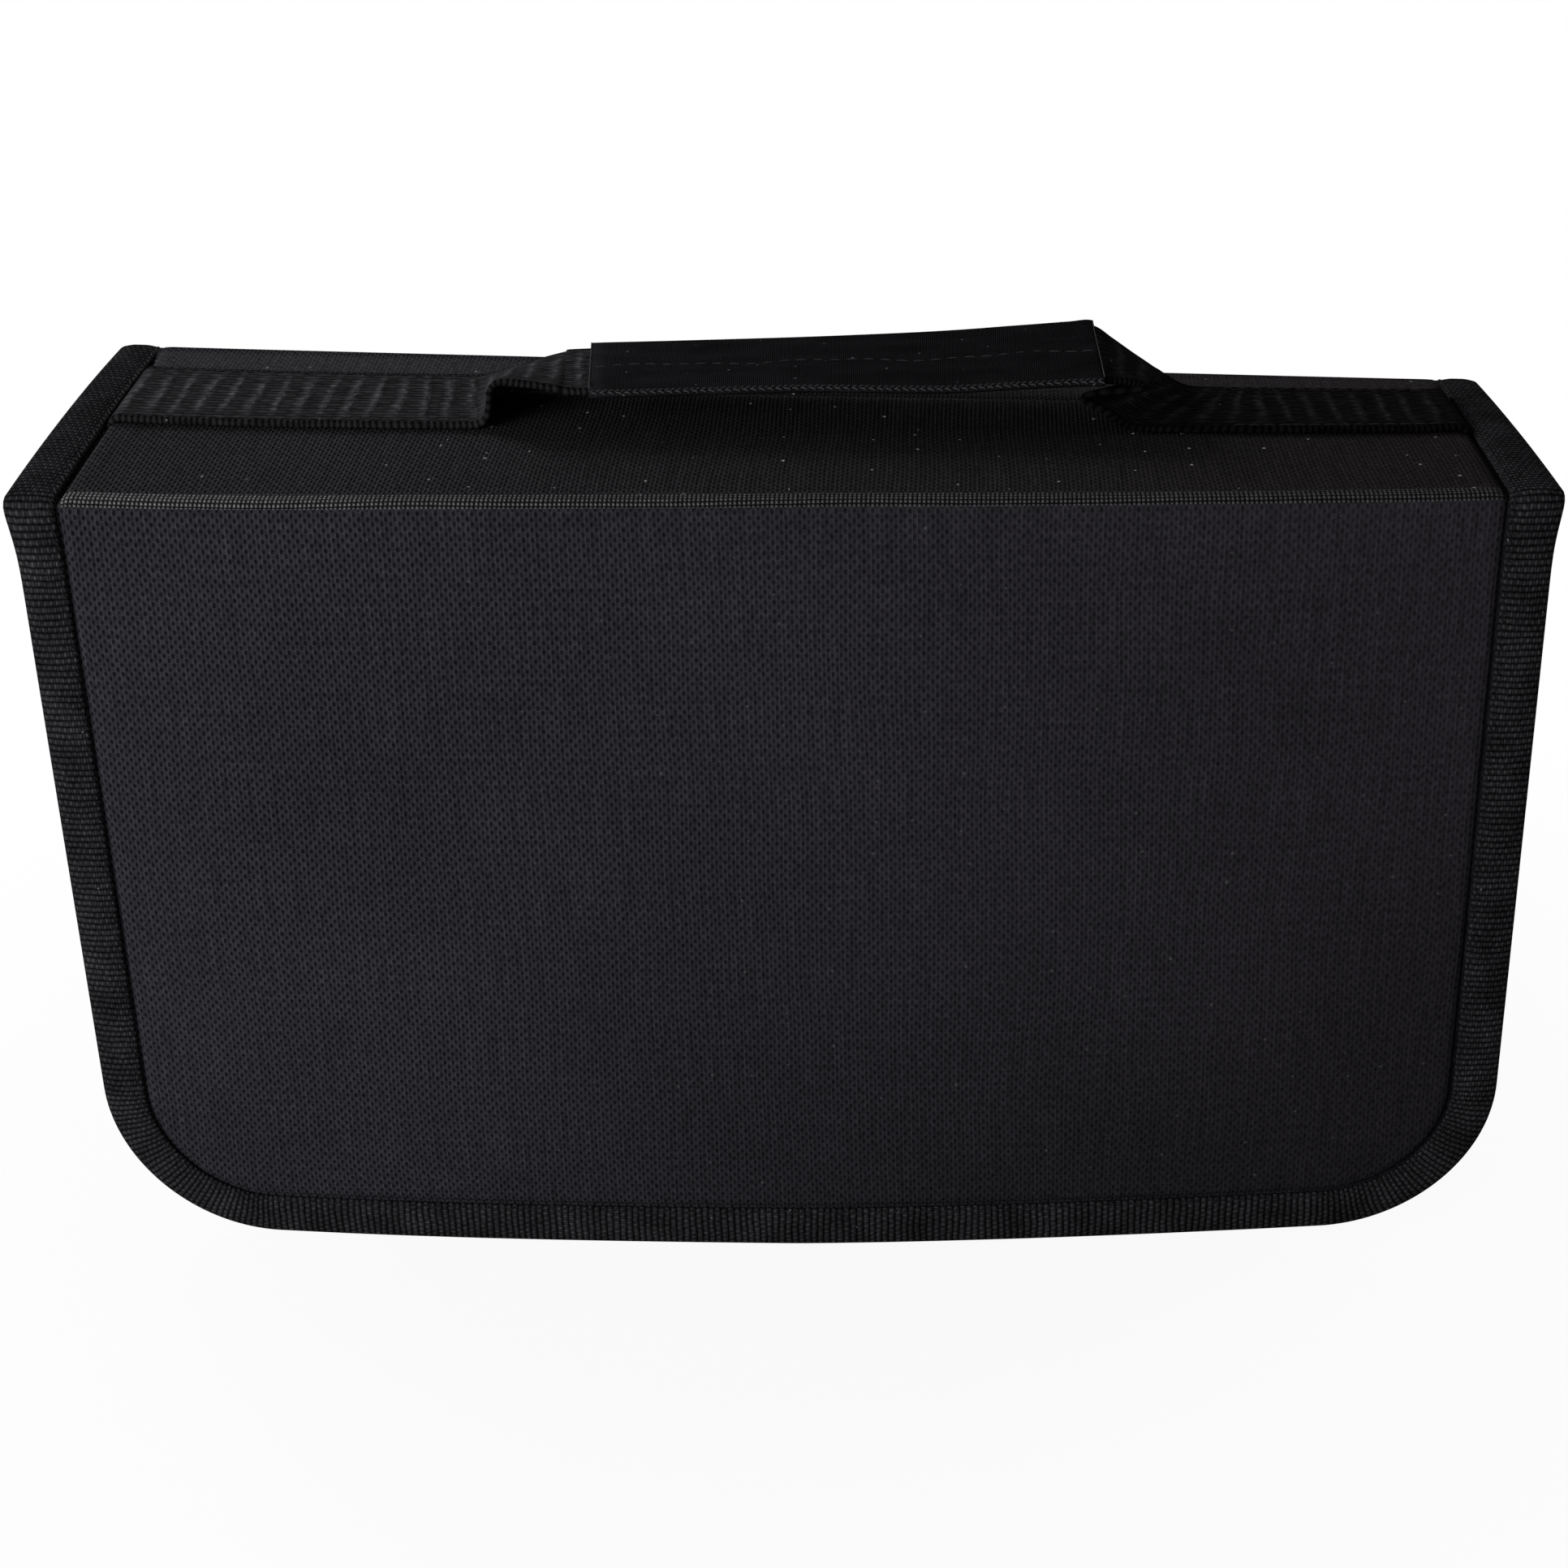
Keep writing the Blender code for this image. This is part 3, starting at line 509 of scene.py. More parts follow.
def cloth_material():
    """Outer nylon cloth in a coarse plain weave, with slubs, lint and painted highlight, light and
    shade.
    """
    n = Nodes("black_cloth", roughness=0.7, specular=0.0)
    u, v = n.unrolled()
    place = n.vector(u, v)
    u2 = n.times_plus(n.noise(place, 0.02, 1.0), 2.4, u)
    v2 = n.times_plus(n.noise(n.vector(v, u, 9.0), 0.017, 1.0), 2.4, v)
    # Where the spine, its strip behind the strap, the right end and the front fold are; the strip
    # gets painted light, the right end painted shade, the front fold a painted highlight
    spine = n.ramp(v, FOLD_TOP + 0.5, FOLD_TOP + 3.5)
    right = n.ramp(u, -90, 130)
    y = n.spatial()[1]
    painted_light_back_strip = n.times(spine, n.ramp(y, 20, 28))
    off_fold = n.abs(n.minus(v, FOLD_TOP - 0.4))
    painted_fold_highlight = n.times(n.ramp(off_fold, 2.1, 2.6, 1.0, 0.0), n.math("LESS_THAN", y, 0.0))
    # The threads are dark ovals on lighter ground, and the pale dots along the front fold are a
    # painted highlight, brightest at the left
    dots = n.power(n.abs(n.times(n.wave(u2, WARP_PITCH), n.wave(v2, WEFT_PITCH))), 0.7)
    fold_highlight_falloff = n.times_plus(n.math("EXPONENT", n.times(u, -0.0077)), 3.4, 2.2)
    relief = n.times_plus(n.weave(u2, v2, WARP_PITCH, WEFT_PITCH), -1.45, 0.61)
    # The weave's contrast is lowered at the right end and on the strip behind the strap, along
    # with their painted shade and painted light
    depth = n.times(n.times_plus(right, -0.45, 0.9), n.times_plus(painted_light_back_strip, -0.6, 1.0))
    level = n.math("ADD", n.times(relief, depth), 1.0)
    level = n.times_plus(n.minus(n.times(dots, fold_highlight_falloff), level), painted_fold_highlight, level)
    # Uneven threads and mottling, with painted shade darkening the lower right and painted light
    # brightening the strip behind the strap
    warp_tone = n.noise(n.vector(n.times(u2, 1.1), n.times(v2, 0.05)), 1.0)
    weft_tone = n.noise(n.vector(n.times(u2, 0.06), n.times(v2, 0.9), 4.0), 1.0)
    # Painted shade: the cloth grows darker towards the lower right
    painted_shade_low_right = n.times(right, n.ramp(v, 110, 10))
    tone = n.times(
        n.ramp(warp_tone, 0.25, 0.75, 0.82, 1.18), n.ramp(weft_tone, 0.25, 0.75, 0.88, 1.12),
        n.mottle(place, 0.012, 3.0, 0.88, 1.12), n.mottle(place, 0.8, 1.0, 0.75, 1.25),
        n.times_plus(painted_shade_low_right, -0.4, 1.0), n.times_plus(painted_light_back_strip, 0.5, 1.0))
    # Painted shade: darker colours at the right end, darkest on the spine's right; the fold's
    # colour goes with its painted highlight
    tint = n.mix(right, (0.0192, 0.0186, 0.0223), (0.0192, 0.0174, 0.0209))
    tint = n.mix(spine, tint, n.mix(right, (0.0200, 0.0195, 0.0213), (0.0160, 0.0142, 0.0149)))
    tint = n.mix(painted_fold_highlight, tint, (0.0215, 0.0213, 0.0218))
    colour = n.mix(n.times(tone, level), BLACK, tint, clamp=False)
    lint = n.times(n.specks(place, 9.0, 0.38, 0.35), n.ramp(spine, 0.0, 1.0, 0.08, 1.0),
                   n.ramp(u, -100, 0, 0.35, 1.0))
    colour = n.mix(lint, colour, (0.36, 0.36, 0.37))
    height = n.times_plus(n.noise(place, 3.5, 2.0), 0.25, level)
    return n.finish(colour, n.bump(height, 0.20))


def tape_material():
    """Binding tape: ribs across it, each a row of small beads."""
    n = Nodes("binding_tape", roughness=0.65, specular=0.0)
    u, v = n.unrolled()
    place = n.vector(u, v)
    u2 = n.times_plus(n.noise(place, 0.15, 1.0), 0.8, u)
    height = n.weave(u2, v, 1.43, 0.62, under=0.6, sharp=1.3)
    tone = n.mottle(place, 0.11, 3.0, 0.65, 1.35)
    beads = n.mottle(place, 1.1, 1.0, 0.6, 1.4)
    shade = n.times(tone, n.times(beads, n.times_plus(height, 1.9, 0.08)))
    colour = n.mix(shade, BLACK, (0.0172, 0.0169, 0.0186), clamp=False)
    colour = n.mix(n.specks(place, 16.0, 0.28, 0.4), colour, (0.12, 0.12, 0.13))
    return n.finish(colour, n.bump(height, 0.45))


def webbing_material():
    """Webbing: raised bars across it over rows of long floats, and a beaded selvedge; painted
    shade darkens the selvedge and the right end.
    """
    n = Nodes("webbing", roughness=0.6, specular=0.0)
    bar_pitch, row_pitch, float_pitch, bead_pitch = 5.2, 1.55, 2.1, 1.3
    u, v = n.unrolled()
    place = n.vector(u, v)
    # V starts 1/11 of the flat into the bottom, so the top's middle is 1.5 - 1/11 flats on
    flat = STRAP_WIDTH - STRAP
    off_middle = n.abs(n.minus(v, 1.41 * flat + math.pi * STRAP / 2))
    selvedge = n.ramp(off_middle, flat / 2 - 0.8, flat / 2 - 0.5)
    drift = n.times_plus(n.noise(place, 0.06, 2.0), 3.0, u)
    bar = n.times(n.power(n.abs(n.wave(drift, bar_pitch)), 5.0),
                  n.ramp(off_middle, 7.0, 12.5, 1.0, 0.15),
                  n.ramp(n.noise(place, 0.35, 2.0), 0.35, 0.65, 0.4, 1.3))
    row = n.wave(v, row_pitch)
    shifted = n.times_plus(n.math("GREATER_THAN", row, 0.0), float_pitch, drift)
    gap = n.minus(1.0, n.power(n.abs(row), 0.45))
    gap = n.times(gap, n.ramp(n.wave(shifted, float_pitch), -0.6, 0.4, 0.15, 1.0))
    level = n.math("MAXIMUM", n.times_plus(gap, -2.0, 1.0), 0.1)
    level = n.times_plus(bar, 1.0, level)
    # The edges take dark beads: the selvedge's beading, darkened as painted shade on the strap's
    # side walls
    beads = n.times_plus(n.power(n.abs(n.wave(drift, bead_pitch)), 1.3), 0.5, 0.12)
    level = n.times_plus(n.minus(beads, level), selvedge, level)
    tone = n.mottle(n.vector(n.times(u, 0.3), v), 0.7, 3.0, 0.6, 1.4)
    # Painted shade: the webbing grows darker towards its right end
    tone = n.times(tone, n.ramp(u, 110.0, 240.0, 1.4, 0.45))
    colour = n.mix(n.times(tone, level), BLACK, (0.0180, 0.0176, 0.0190), clamp=False)
    colour = n.mix(n.specks(place, 12.0, 0.26, 0.4), colour, (0.14, 0.14, 0.14))
    return n.finish(colour, n.bump(level, 0.45))


def grip_material():
    """Closely woven dull cloth of the grip, with faint creases and lint, and painted shade to the
    right.
    """
    n = Nodes("grip_cloth", roughness=0.75, specular=0.0)
    u, v = n.unrolled()
    place = n.vector(u, v)
    height = n.weave(u, v, 0.42, 0.38, under=0.8)
    creases = n.noise(n.vector(n.times(u, 0.5), n.times(v, 1.6)), 0.12, 4.0)
    # The last factor is painted shade, darker towards the grip's right end
    tone = n.times(n.ramp(creases, 0.3, 0.7, 0.75, 1.25), n.mottle(place, 1.6, 2.0, 0.8, 1.2),
                   n.ramp(u, 0, 110, 0.85, 0.6))
    shade = n.times(tone, n.times_plus(height, 1.1, 0.5))
    colour = n.mix(shade, BLACK, (0.0105, 0.0103, 0.0115), clamp=False)
    colour = n.mix(n.specks(place, 7.0, 0.26, 0.4), colour, (0.12, 0.12, 0.13))
    return n.finish(colour, n.bump(height, 0.1, n.bump(creases, 1.4)))


def thread_material(name, dark, light):
    """Sewing thread: twisted strands."""
    n = Nodes(name, roughness=0.6, specular=0.02)
    u, v = n.unrolled()
    height = n.abs(n.wave(n.times_plus(v, 0.35, u), 0.34))
    return n.finish(n.mix(height, dark, light), n.bump(height, 0.12))


def lining_material():
    """Smooth lining cloth in a fine weave."""
    n = Nodes("lining", roughness=0.7, specular=0.12)
    u, v = n.unrolled()
    place = n.vector(u, v)
    height = n.weave(u, v, 0.5, 0.45, under=0.85)
    tone = n.mottle(place, 0.03, 3.0, 0.8, 1.2)
    shade = n.times(tone, n.times_plus(height, 0.9, 0.5))
    colour = n.mix(shade, BLACK, (0.028, 0.028, 0.031))
    wrinkle = n.noise(place, 0.05, 3.0)
    return n.finish(colour, n.bump(height, 0.1, n.bump(wrinkle, 1.2)))


def board_material():
    """Grey-brown pressed board with fibres in it."""
    n = Nodes("board", roughness=0.9, specular=0.2)
    x, y, z = n.spatial()
    fibres = n.noise(n.vector(x, y, n.times(z, 3.0)), 0.8, 5.0, 0.65)
    colour = n.mix(fibres, (0.16, 0.12, 0.08), (0.33, 0.27, 0.19))
    return n.finish(colour, n.bump(fibres, 0.2))


def zip_tape_material():
    """Zip tape: a herringbone of fine threads."""
    n = Nodes("zip_tape", roughness=0.65, specular=0.1)
    u, v = n.unrolled()
    zigzag = n.abs(n.minus(n.math("PINGPONG", v, 2.6), 1.3))
    slanted = n.times_plus(zigzag, 1.4, u)
    height = n.abs(n.wave(slanted, 0.8))
    height = n.times_plus(n.abs(n.wave(v, 0.43)), 0.3, height)
    shade = n.ramp(height, 0.0, 1.2, 0.4, 1.3)
    colour = n.mix(shade, BLACK, (0.017, 0.017, 0.019))
    return n.finish(colour, n.bump(height, 0.22))


def coil_material():
    """Satin nylon of the zip's coil."""
    n = Nodes("zip_coil", roughness=0.38, specular=0.5)
    x, y, z = n.spatial()
    grain = n.noise(n.vector(x, y, z), 1.5, 3.0)
    colour = n.mix(grain, (0.012, 0.012, 0.013), (0.024, 0.024, 0.025))
    return n.finish(colour, n.bump(grain, 0.04), n.ramp(grain, 0.3, 0.7, 0.3, 0.5))


def metal_material():
    """Black-plated zinc of the zip slider, brightened a little in places by rubbing."""
    n = Nodes("zip_metal", roughness=0.32, metallic=1.0, specular=0.5)
    x, y, z = n.spatial()
    place = n.vector(x, y, z)
    cloud = n.noise(place, 0.35, 4.0, 0.6)
    colour = n.mix(n.ramp(cloud, 0.35, 0.75), (0.035, 0.035, 0.038), (0.11, 0.11, 0.115))
    shine = n.ramp(cloud, 0.3, 0.7, 0.25, 0.45)
    return n.finish(colour, n.bump(n.noise(place, 4.0, 3.0), 0.03), shine)


def page_material():
    """White non-woven cloth of the disc sleeves."""
    n = Nodes("pages", roughness=0.6, specular=0.25)
    u, v = n.unrolled()
    place = n.vector(u, v)
    fibres = n.noise(place, 0.9, 5.0, 0.7)
    points = n.times(n.abs(n.wave(u, 1.0)), n.abs(n.wave(v, 1.0)))
    colour = n.mix(fibres, (0.27, 0.27, 0.28), (0.42, 0.42, 0.43))
    return n.finish(colour, n.bump(points, 0.1, n.bump(fibres, 0.15)))


def film_material():
    """Clear soft film of the sleeves' pockets, a little crazed."""
    n = Nodes("pocket_film", roughness=0.25, specular=0.5)
    u, v = n.unrolled()
    cloud = n.noise(n.vector(u, v), 0.05, 4.0, 0.6)
    n.shader.inputs["Alpha"].default_value = 0.35
    colour = n.mix(cloud, (0.45, 0.45, 0.46), (0.62, 0.62, 0.63))
    return n.finish(colour, n.bump(cloud, 0.8), n.ramp(cloud, 0.3, 0.7, 0.15, 0.35))


cloth = cloth_material()
tape = tape_material()
webbing = webbing_material()
grip_cloth = grip_material()
thread = thread_material("thread", (0.005, 0.005, 0.006), (0.017, 0.017, 0.019))
pale_thread = thread_material("pale_thread", (0.016, 0.016, 0.018), (0.062, 0.062, 0.066))
lining = lining_material()
board = board_material()
zip_tape = zip_tape_material()
coil_nylon = coil_material()
metal = metal_material()
page_cloth = page_material()
pocket_film = film_material()


def over_the_fold(piece, word, *nodes, slot):
    """A piece shaped over a cover's fold, with its transform baked, that stands for CAD nodes."""
    if nodes:
        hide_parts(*nodes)
    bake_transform(piece)


def on_body(piece, body, *nodes, slot):
    """A piece that rides on one body and stands for CAD nodes."""
    if nodes:
        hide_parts(*nodes)
    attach(piece, body)


def make_cloth(word):
    """A cover's padded outer cloth, over the fold and on to the spine, as far as the strap."""
    side = SIDES[word]
    step = 2.4
    path, normals = outline_2d(step, S_END[word])
    fold = np.linspace(FOLD_FOOT, FOLD_TOP, 9)
    left_end = int(np.argmax(path[:, 1] <= CORNER_RADIUS))
    rows = path[:left_end + 1, 1]
    rows = np.concatenate([rows[rows > FOLD_TOP + 0.5], fold[::-1], rows[rows < FOLD_FOOT - 0.5]])
    left = np.stack([np.full_like(rows, -LENGTH / 2), rows], -1)
    middle = np.s_[left_end + 1:len(path) - left_end - 1]
    path = both_ends(left, path[middle])
    normals = both_ends(np.tile([1.0, 0.0], (len(left), 1)), normals[middle])
    insets = np.concatenate([
        [7.5, 9.0], np.linspace(SHOULDER_START, 12.8, 8), np.geomspace(14, 36, 9)])
    x, s = inward(path, normals, insets)
    depth = pad_depth(x, s)
    if word == "back":
        depth = depth * (1 - 0.85 * np.exp(-((s - FOLD_TOP) / 8) ** 2))
    shape = Shape()
    shape.grid(wrapped(side, x, s, depth), np.stack([x, s], -1))
    columns = path[path[:, 1] < 0.01][:, 0]
    inner_x, inner_s = np.meshgrid(columns, rows)
    inner_s = inner_s.clip(CORNER_RADIUS, None)
    shape.grid(
        wrapped(side, inner_x, inner_s, pad_depth(inner_x, inner_s)),
        np.stack([inner_x, inner_s], -1))
    piece = shape.piece(word + "_cloth", cloth, thickness=CLOTH)
    over_the_fold(piece, word, word + "_cover_fabric", "spine_fabric", slot="black_cloth")


def tape_section():
    """The binding tape folded round the edge: puffy outer leg, edge and inner leg."""
    inner_leg = WALL_INSET - CLEARANCE
    return rounded([
        (0, BINDING_DEPTH), (2.8, BINDING_DEPTH - PUFF), (6.4, BINDING_DEPTH - PUFF),
        (BINDING_WIDTH, BINDING_DEPTH), (BINDING_WIDTH, BINDING_DEPTH + BINDING),
        (BINDING, BINDING_DEPTH + BINDING), (BINDING, EDGE_DEPTH - BINDING),
        (inner_leg, EDGE_DEPTH - BINDING), (inner_leg, EDGE_DEPTH), (0, EDGE_DEPTH),
    ], 0.9)


def make_binding(word):
    """The tape round a cover and over the spine's ends, with slanted stitches at its edge."""
    side = SIDES[word]
    path, normals = outline_2d(1.6, S_END[word])
    points, uvs = swept(side, path, normals, tape_section())
    shape = Shape()
    shape.grid(points, uvs)
    nodes = [word + "_cover_binding", "spine_binding_left", "spine_binding_right"]
    over_the_fold(shape.piece(word + "_binding", tape), word, *nodes, slot="binding_tape")
    edge = path + normals * (BINDING_WIDTH - 0.7)
    line = wrapped(side, edge[:, 0], edge[:, 1], np.full(len(edge), BINDING_DEPTH - 0.1))
    above = wrapped(side, edge[:, 0], edge[:, 1], np.full(len(edge), -1.0)) - line
    seam = Shape()
    stitched(seam, line, above, 1.9, 1.5, 0.2, slant=0.9)
    over_the_fold(seam.piece(word + "_binding_stitches", thread), word, slot="binding_tape")


def plate_between(shape, outer, inner, uvs):
    """A closed plate between two sheets of the same rows and columns."""
    shape.grid(outer, uvs)
    shape.grid(inner, uvs, flip=True)
    for cut in (np.s_[:, 0], np.s_[:, -1], np.s_[0], np.s_[-1]):
        rim = np.stack([uvs[cut], uvs[cut] + [BOARD, 0]], 1)
        shape.grid(np.stack([outer[cut], inner[cut]], 1), rim)


def make_cover_layer(word, kind, inset, depth, thickness, material, top=COVER_TOP):
    """A flat layer of a cover, with rounded lower corners."""
    side = SIDES[word]
    radius = CORNER_RADIUS - inset
    z = np.concatenate([CORNER_RADIUS - radius * np.cos(np.linspace(0, math.pi / 2, 16)),
                        np.linspace(CORNER_RADIUS, top, 24)[1:]])
    below = (CORNER_RADIUS - z).clip(0)
    half = CORNER_X + np.sqrt((radius ** 2 - below ** 2).clip(0))
    x = half[:, None] * np.linspace(-1, 1, 41)
    z = z[:, None] + 0 * x
    sheets = [np.stack([x, side * (THICKNESS / 2 - d) + 0 * x, z], -1)
              for d in (depth, depth + thickness)]
    shape = Shape()
    plate_between(shape, *sheets, np.stack([x, z], -1))
    piece = shape.piece(word + "_" + kind, material)
    on_body(piece, word + "_cover", word + "_cover_" + kind, slot=kind)


def make_spine_layer(kind, inset, depth, thickness, material):
    """A flat layer under the spine's cloth."""
    half_x, half_y = LENGTH / 2 - inset, THICKNESS / 2 - LINING_DEPTH - LINING - CLEARANCE
    x, y = np.meshgrid(np.linspace(-half_x, half_x, 41), np.linspace(-half_y, half_y, 13))
    sheets = [np.stack([x, y, HEIGHT - d + 0 * x], -1) for d in (depth, depth + thickness)]
    shape = Shape()
    plate_between(shape, *sheets, np.stack([x, y], -1))
    on_body(shape.piece("spine_" + kind + "_layer", material), "spine", "spine_" + kind, slot=kind)


def make_gusset(word):
    """The cloth side wall, slack between its two seams, with the seam along the zip."""
    side = SIDES[word]
    path, normals = outline_2d(2.5, WALL_TOP)
    reach = THICKNESS / 2 - WALL_EDGE
    outer, inner = WALL_INSET, WALL_INSET + WALL
    depths = np.linspace(FLANGE_DEPTH + WALL, reach, 9)
    section = [(SEAM_INSET, FLANGE_DEPTH), (inner - 0.3, FLANGE_DEPTH)]
    section += [(inner, FLANGE_DEPTH + 0.3), *((inner, d) for d in depths[1:])]
    section += [(outer, d) for d in depths[::-1]]
    section += [(SEAM_INSET, FLANGE_DEPTH + WALL), (SEAM_INSET, FLANGE_DEPTH)]
    section = np.array(section, float)
    x, z = inward(path, normals, section[:, 0])
    depth = section[:, 1] + 0 * x
    run = lengths(path)[:, None]
    slack = np.sin(math.pi * np.clip(
        (depth - FLANGE_DEPTH - WALL) / (reach - FLANGE_DEPTH - WALL), 0, 1))
    dip = slack * (0.35 + 0.25 * ripple(run * 1.3, depth * 4))
    x = x + normals[:, :1] * dip
    z = z + normals[:, 1:] * dip
    y = side * (THICKNESS / 2 - depth)
    shape = Shape()
    shape.closed_tube(np.stack([x, y, z], -1), paired(run, lengths(section)[None]))
    piece = shape.piece(word + "_gusset", cloth)
    on_body(piece, word + "_cover", word + "_cover_gusset", slot="black_cloth")
    seam = Shape()
    edge = path + normals * (outer - 0.05)
    up = -np.stack([normals[:, 0], 0 * normals[:, 0], normals[:, 1]], -1)
    for back in (2.0, 4.6):
        row = np.full(len(edge), side * (WALL_EDGE + back))
        stitched(seam, np.stack([edge[:, 0], row, edge[:, 1]], -1), up, 3.0, 2.3)
    piece = seam.piece(word + "_gusset_stitches", thread)
    on_body(piece, word + "_cover", slot="black_cloth")


def make_zip_tape(word):
    """The zip's woven tape, from under the side wall to the coil."""
    side = SIDES[word]
    path, normals = outline_2d(2.0, WALL_TOP)
    stop = 0.2  # how near the tape comes to the middle of the zip
    section = rounded([
        (TAPE_INSET, ZIP_TAPE_EDGE), (TAPE_INSET + ZIP_TAPE, ZIP_TAPE_EDGE),
        (TAPE_INSET + ZIP_TAPE, stop), (TAPE_INSET, stop)], 0.2, 2)
    section = np.array(section)
    x, z = inward(path, normals, section[:, 0])
    y = side * section[:, 1] + 0 * x
    shape = Shape()
    shape.closed_tube(
        np.stack([x, y, z], -1), paired(lengths(path)[:, None], section[None, :, 1]))
    piece = shape.piece(word + "_zip_tape", zip_tape)
    on_body(piece, word + "_cover", word + "_cover_zip_tape", slot="zip_tape")


def make_coil(word):
    """One half of the zip: a flattened spiral whose loops mesh with the other half's."""
    side = SIDES[word]
    path, normals = outline_2d(1.0, COIL_TOP)
    path = path + normals * COIL_MIDDLE
    run = lengths(path)
    pitch, per_loop, wire = 1.9, 12, 0.36
    loops = int(run[-1] / pitch) - 1
    turn = np.arange(loops * per_loop + 1) / per_loop
    shift = 0.0 if word == "front" else 0.5
    at = (turn + shift + 0.25) * pitch
    px, pz, nx, nz = (np.interp(at, run, column) for column in (*path.T, *normals.T))
    angle = turn * 2 * math.pi
    reach = COIL_WIDTH / 2 + 0.65 - wire
    middle_y = ZIP_SLIT / 2 + COIL_WIDTH / 2 - 0.35
    y = side * (middle_y - reach * np.cos(angle))
    out = (COIL_HEIGHT / 2 - wire) * np.sign(np.sin(angle)) * np.abs(np.sin(angle)) ** 0.7
    centre = np.stack([px + nx * out, y, pz + nz * out], -1)
    up = np.stack([nx, 0 * nx, nz], -1)
    along, across, up = frames_along(centre, up + 0.01)
    ring = around(6)
    points = centre[:, None] + wire * (
        across[:, None] * np.cos(ring)[None, :, None] + up[:, None] * np.sin(ring)[None, :, None])
    shape = Shape()
    shape.tubes(points[None], paired(at[:, None], ring[None])[None])
    cord_ring = around(8)
    ux, uz = path[::2, :1], path[::2, 1:]
    vx, vz = normals[::2, :1], normals[::2, 1:]
    radius = 0.55
    cord = np.stack([ux + vx * radius * np.cos(cord_ring),
                     side * (middle_y + 0.2) + radius * np.sin(cord_ring) + 0 * ux,
                     uz + vz * radius * np.cos(cord_ring)], -1)
    shape.tubes(cord[None], paired(run[::2][:, None], cord_ring[None])[None])
    piece = shape.piece(word + "_zip_coil", coil_nylon)
    on_body(piece, word + "_cover", word + "_cover_zip_coil", slot="zip_coil")


def smooth_route(points, steps):
    """Points of a Catmull-Rom curve through the given points."""
    ends = [points[0]] + list(points) + [points[-1]]
    route = []
    for a, b, c, d in zip(ends, ends[1:], ends[2:], ends[3:]):
        for i in range(steps):
            t = i / steps
            route.append([
                0.5 * (2 * q + (r - p) * t + (2 * p - 5 * q + 4 * r - s) * t * t
                       + (3 * q - p - 3 * r + s) * t ** 3)
                for p, q, r, s in zip(a, b, c, d)])
    route.append(list(points[-1]))
    return np.array(route)


def strap_edges(width):
    """The front and back edge of the handle at each station."""
    left = [(-x, lift, -x, lift) for x, lift in STRAP_DIP[::-1]]
    left += [(x, 0, x, 0) for x in (-130, -115, -100, -90)]
    right = [(x, 0, x, 0) for x in (103, 114, 125, 133)]
    right += [(x, lift, x, lift) for x, lift in STRAP_DIP]
    route = smooth_route([*left, *HANDLE_ROUTE, *right], 6)
    share = ((route[:, 0] + route[:, 2]) / 2 + LENGTH / 2) / LENGTH
    middle = STRAP_LEFT_Y + (STRAP_RIGHT_Y - STRAP_LEFT_Y) * share
    rest = HEIGHT + CLEARANCE + STRAP / 2
    front = np.stack([route[:, 0], middle - width / 2, rest + route[:, 1]], -1)
    back = np.stack([route[:, 2], middle + width / 2, rest + route[:, 3]], -1)
    return front, back


def band(front, back, section):
    """Rows of points of a band that follows the handle, and the rows' outward directions."""
    share = (section[:, 0] / section[:, 0].max())[None, :, None]
    middle = front[:, None] + (back - front)[:, None] * share
    along = np.gradient(middle, axis=0)
    outward = np.cross(along, (back - front)[:, None])
    outward /= np.linalg.norm(outward, axis=2, keepdims=True)
    return middle + outward * section[:, 1][None, :, None], outward


def band_section(width, half, columns):
    """Across and up round a flat band with rounded edges, starting at its back edge's foot."""
    turns = np.radians(np.linspace(-90, 90, 7))
    bottom = [(a, -half) for a in np.linspace(half, width - half, columns + 2)[1:-1]]
    back = [(width - half + half * math.cos(t), half * math.sin(t)) for t in turns]
    front = [(half - half * math.cos(t), half * math.sin(t)) for t in turns[::-1]]
    return np.array(bottom + back + [(a, half) for a, _ in bottom[::-1]] + front + bottom[:1])


def along_band(front, back, share, height):
    """A line along a band at a share of its width, and the band's outward direction there."""
    section = np.array([(0.0, height), (share, height), (1.0, height)])
    points, outward = band(front, back, section)
    return points[:, 1], outward[:, 1]


def make_strap():
    """The webbing, sewn down at both ends and raised in the middle."""
    front, back = strap_edges(STRAP_WIDTH)
    section = band_section(STRAP_WIDTH, STRAP / 2, 10)
    points, _ = band(front, back, section)
    shape = Shape()
    shape.closed_tube(points, paired(lengths((front + back) / 2)[:, None], lengths(section)[None]))
    on_body(shape.piece("strap", webbing), "spine", "handle_strap", slot="webbing")
    seam = Shape()
    for low, high in ((-139, -70), (92, 139)):
        for share in (0.06, 0.94):
            line, up = along_band(front, back, share, STRAP / 2 + 0.02)
            chosen = (line[:, 0] > low) & (line[:, 0] < high)
            stitched(seam, line[chosen], up[chosen], 3.1, 2.4, 0.17)
    on_body(seam.piece("strap_stitches", thread), "spine", slot="webbing")


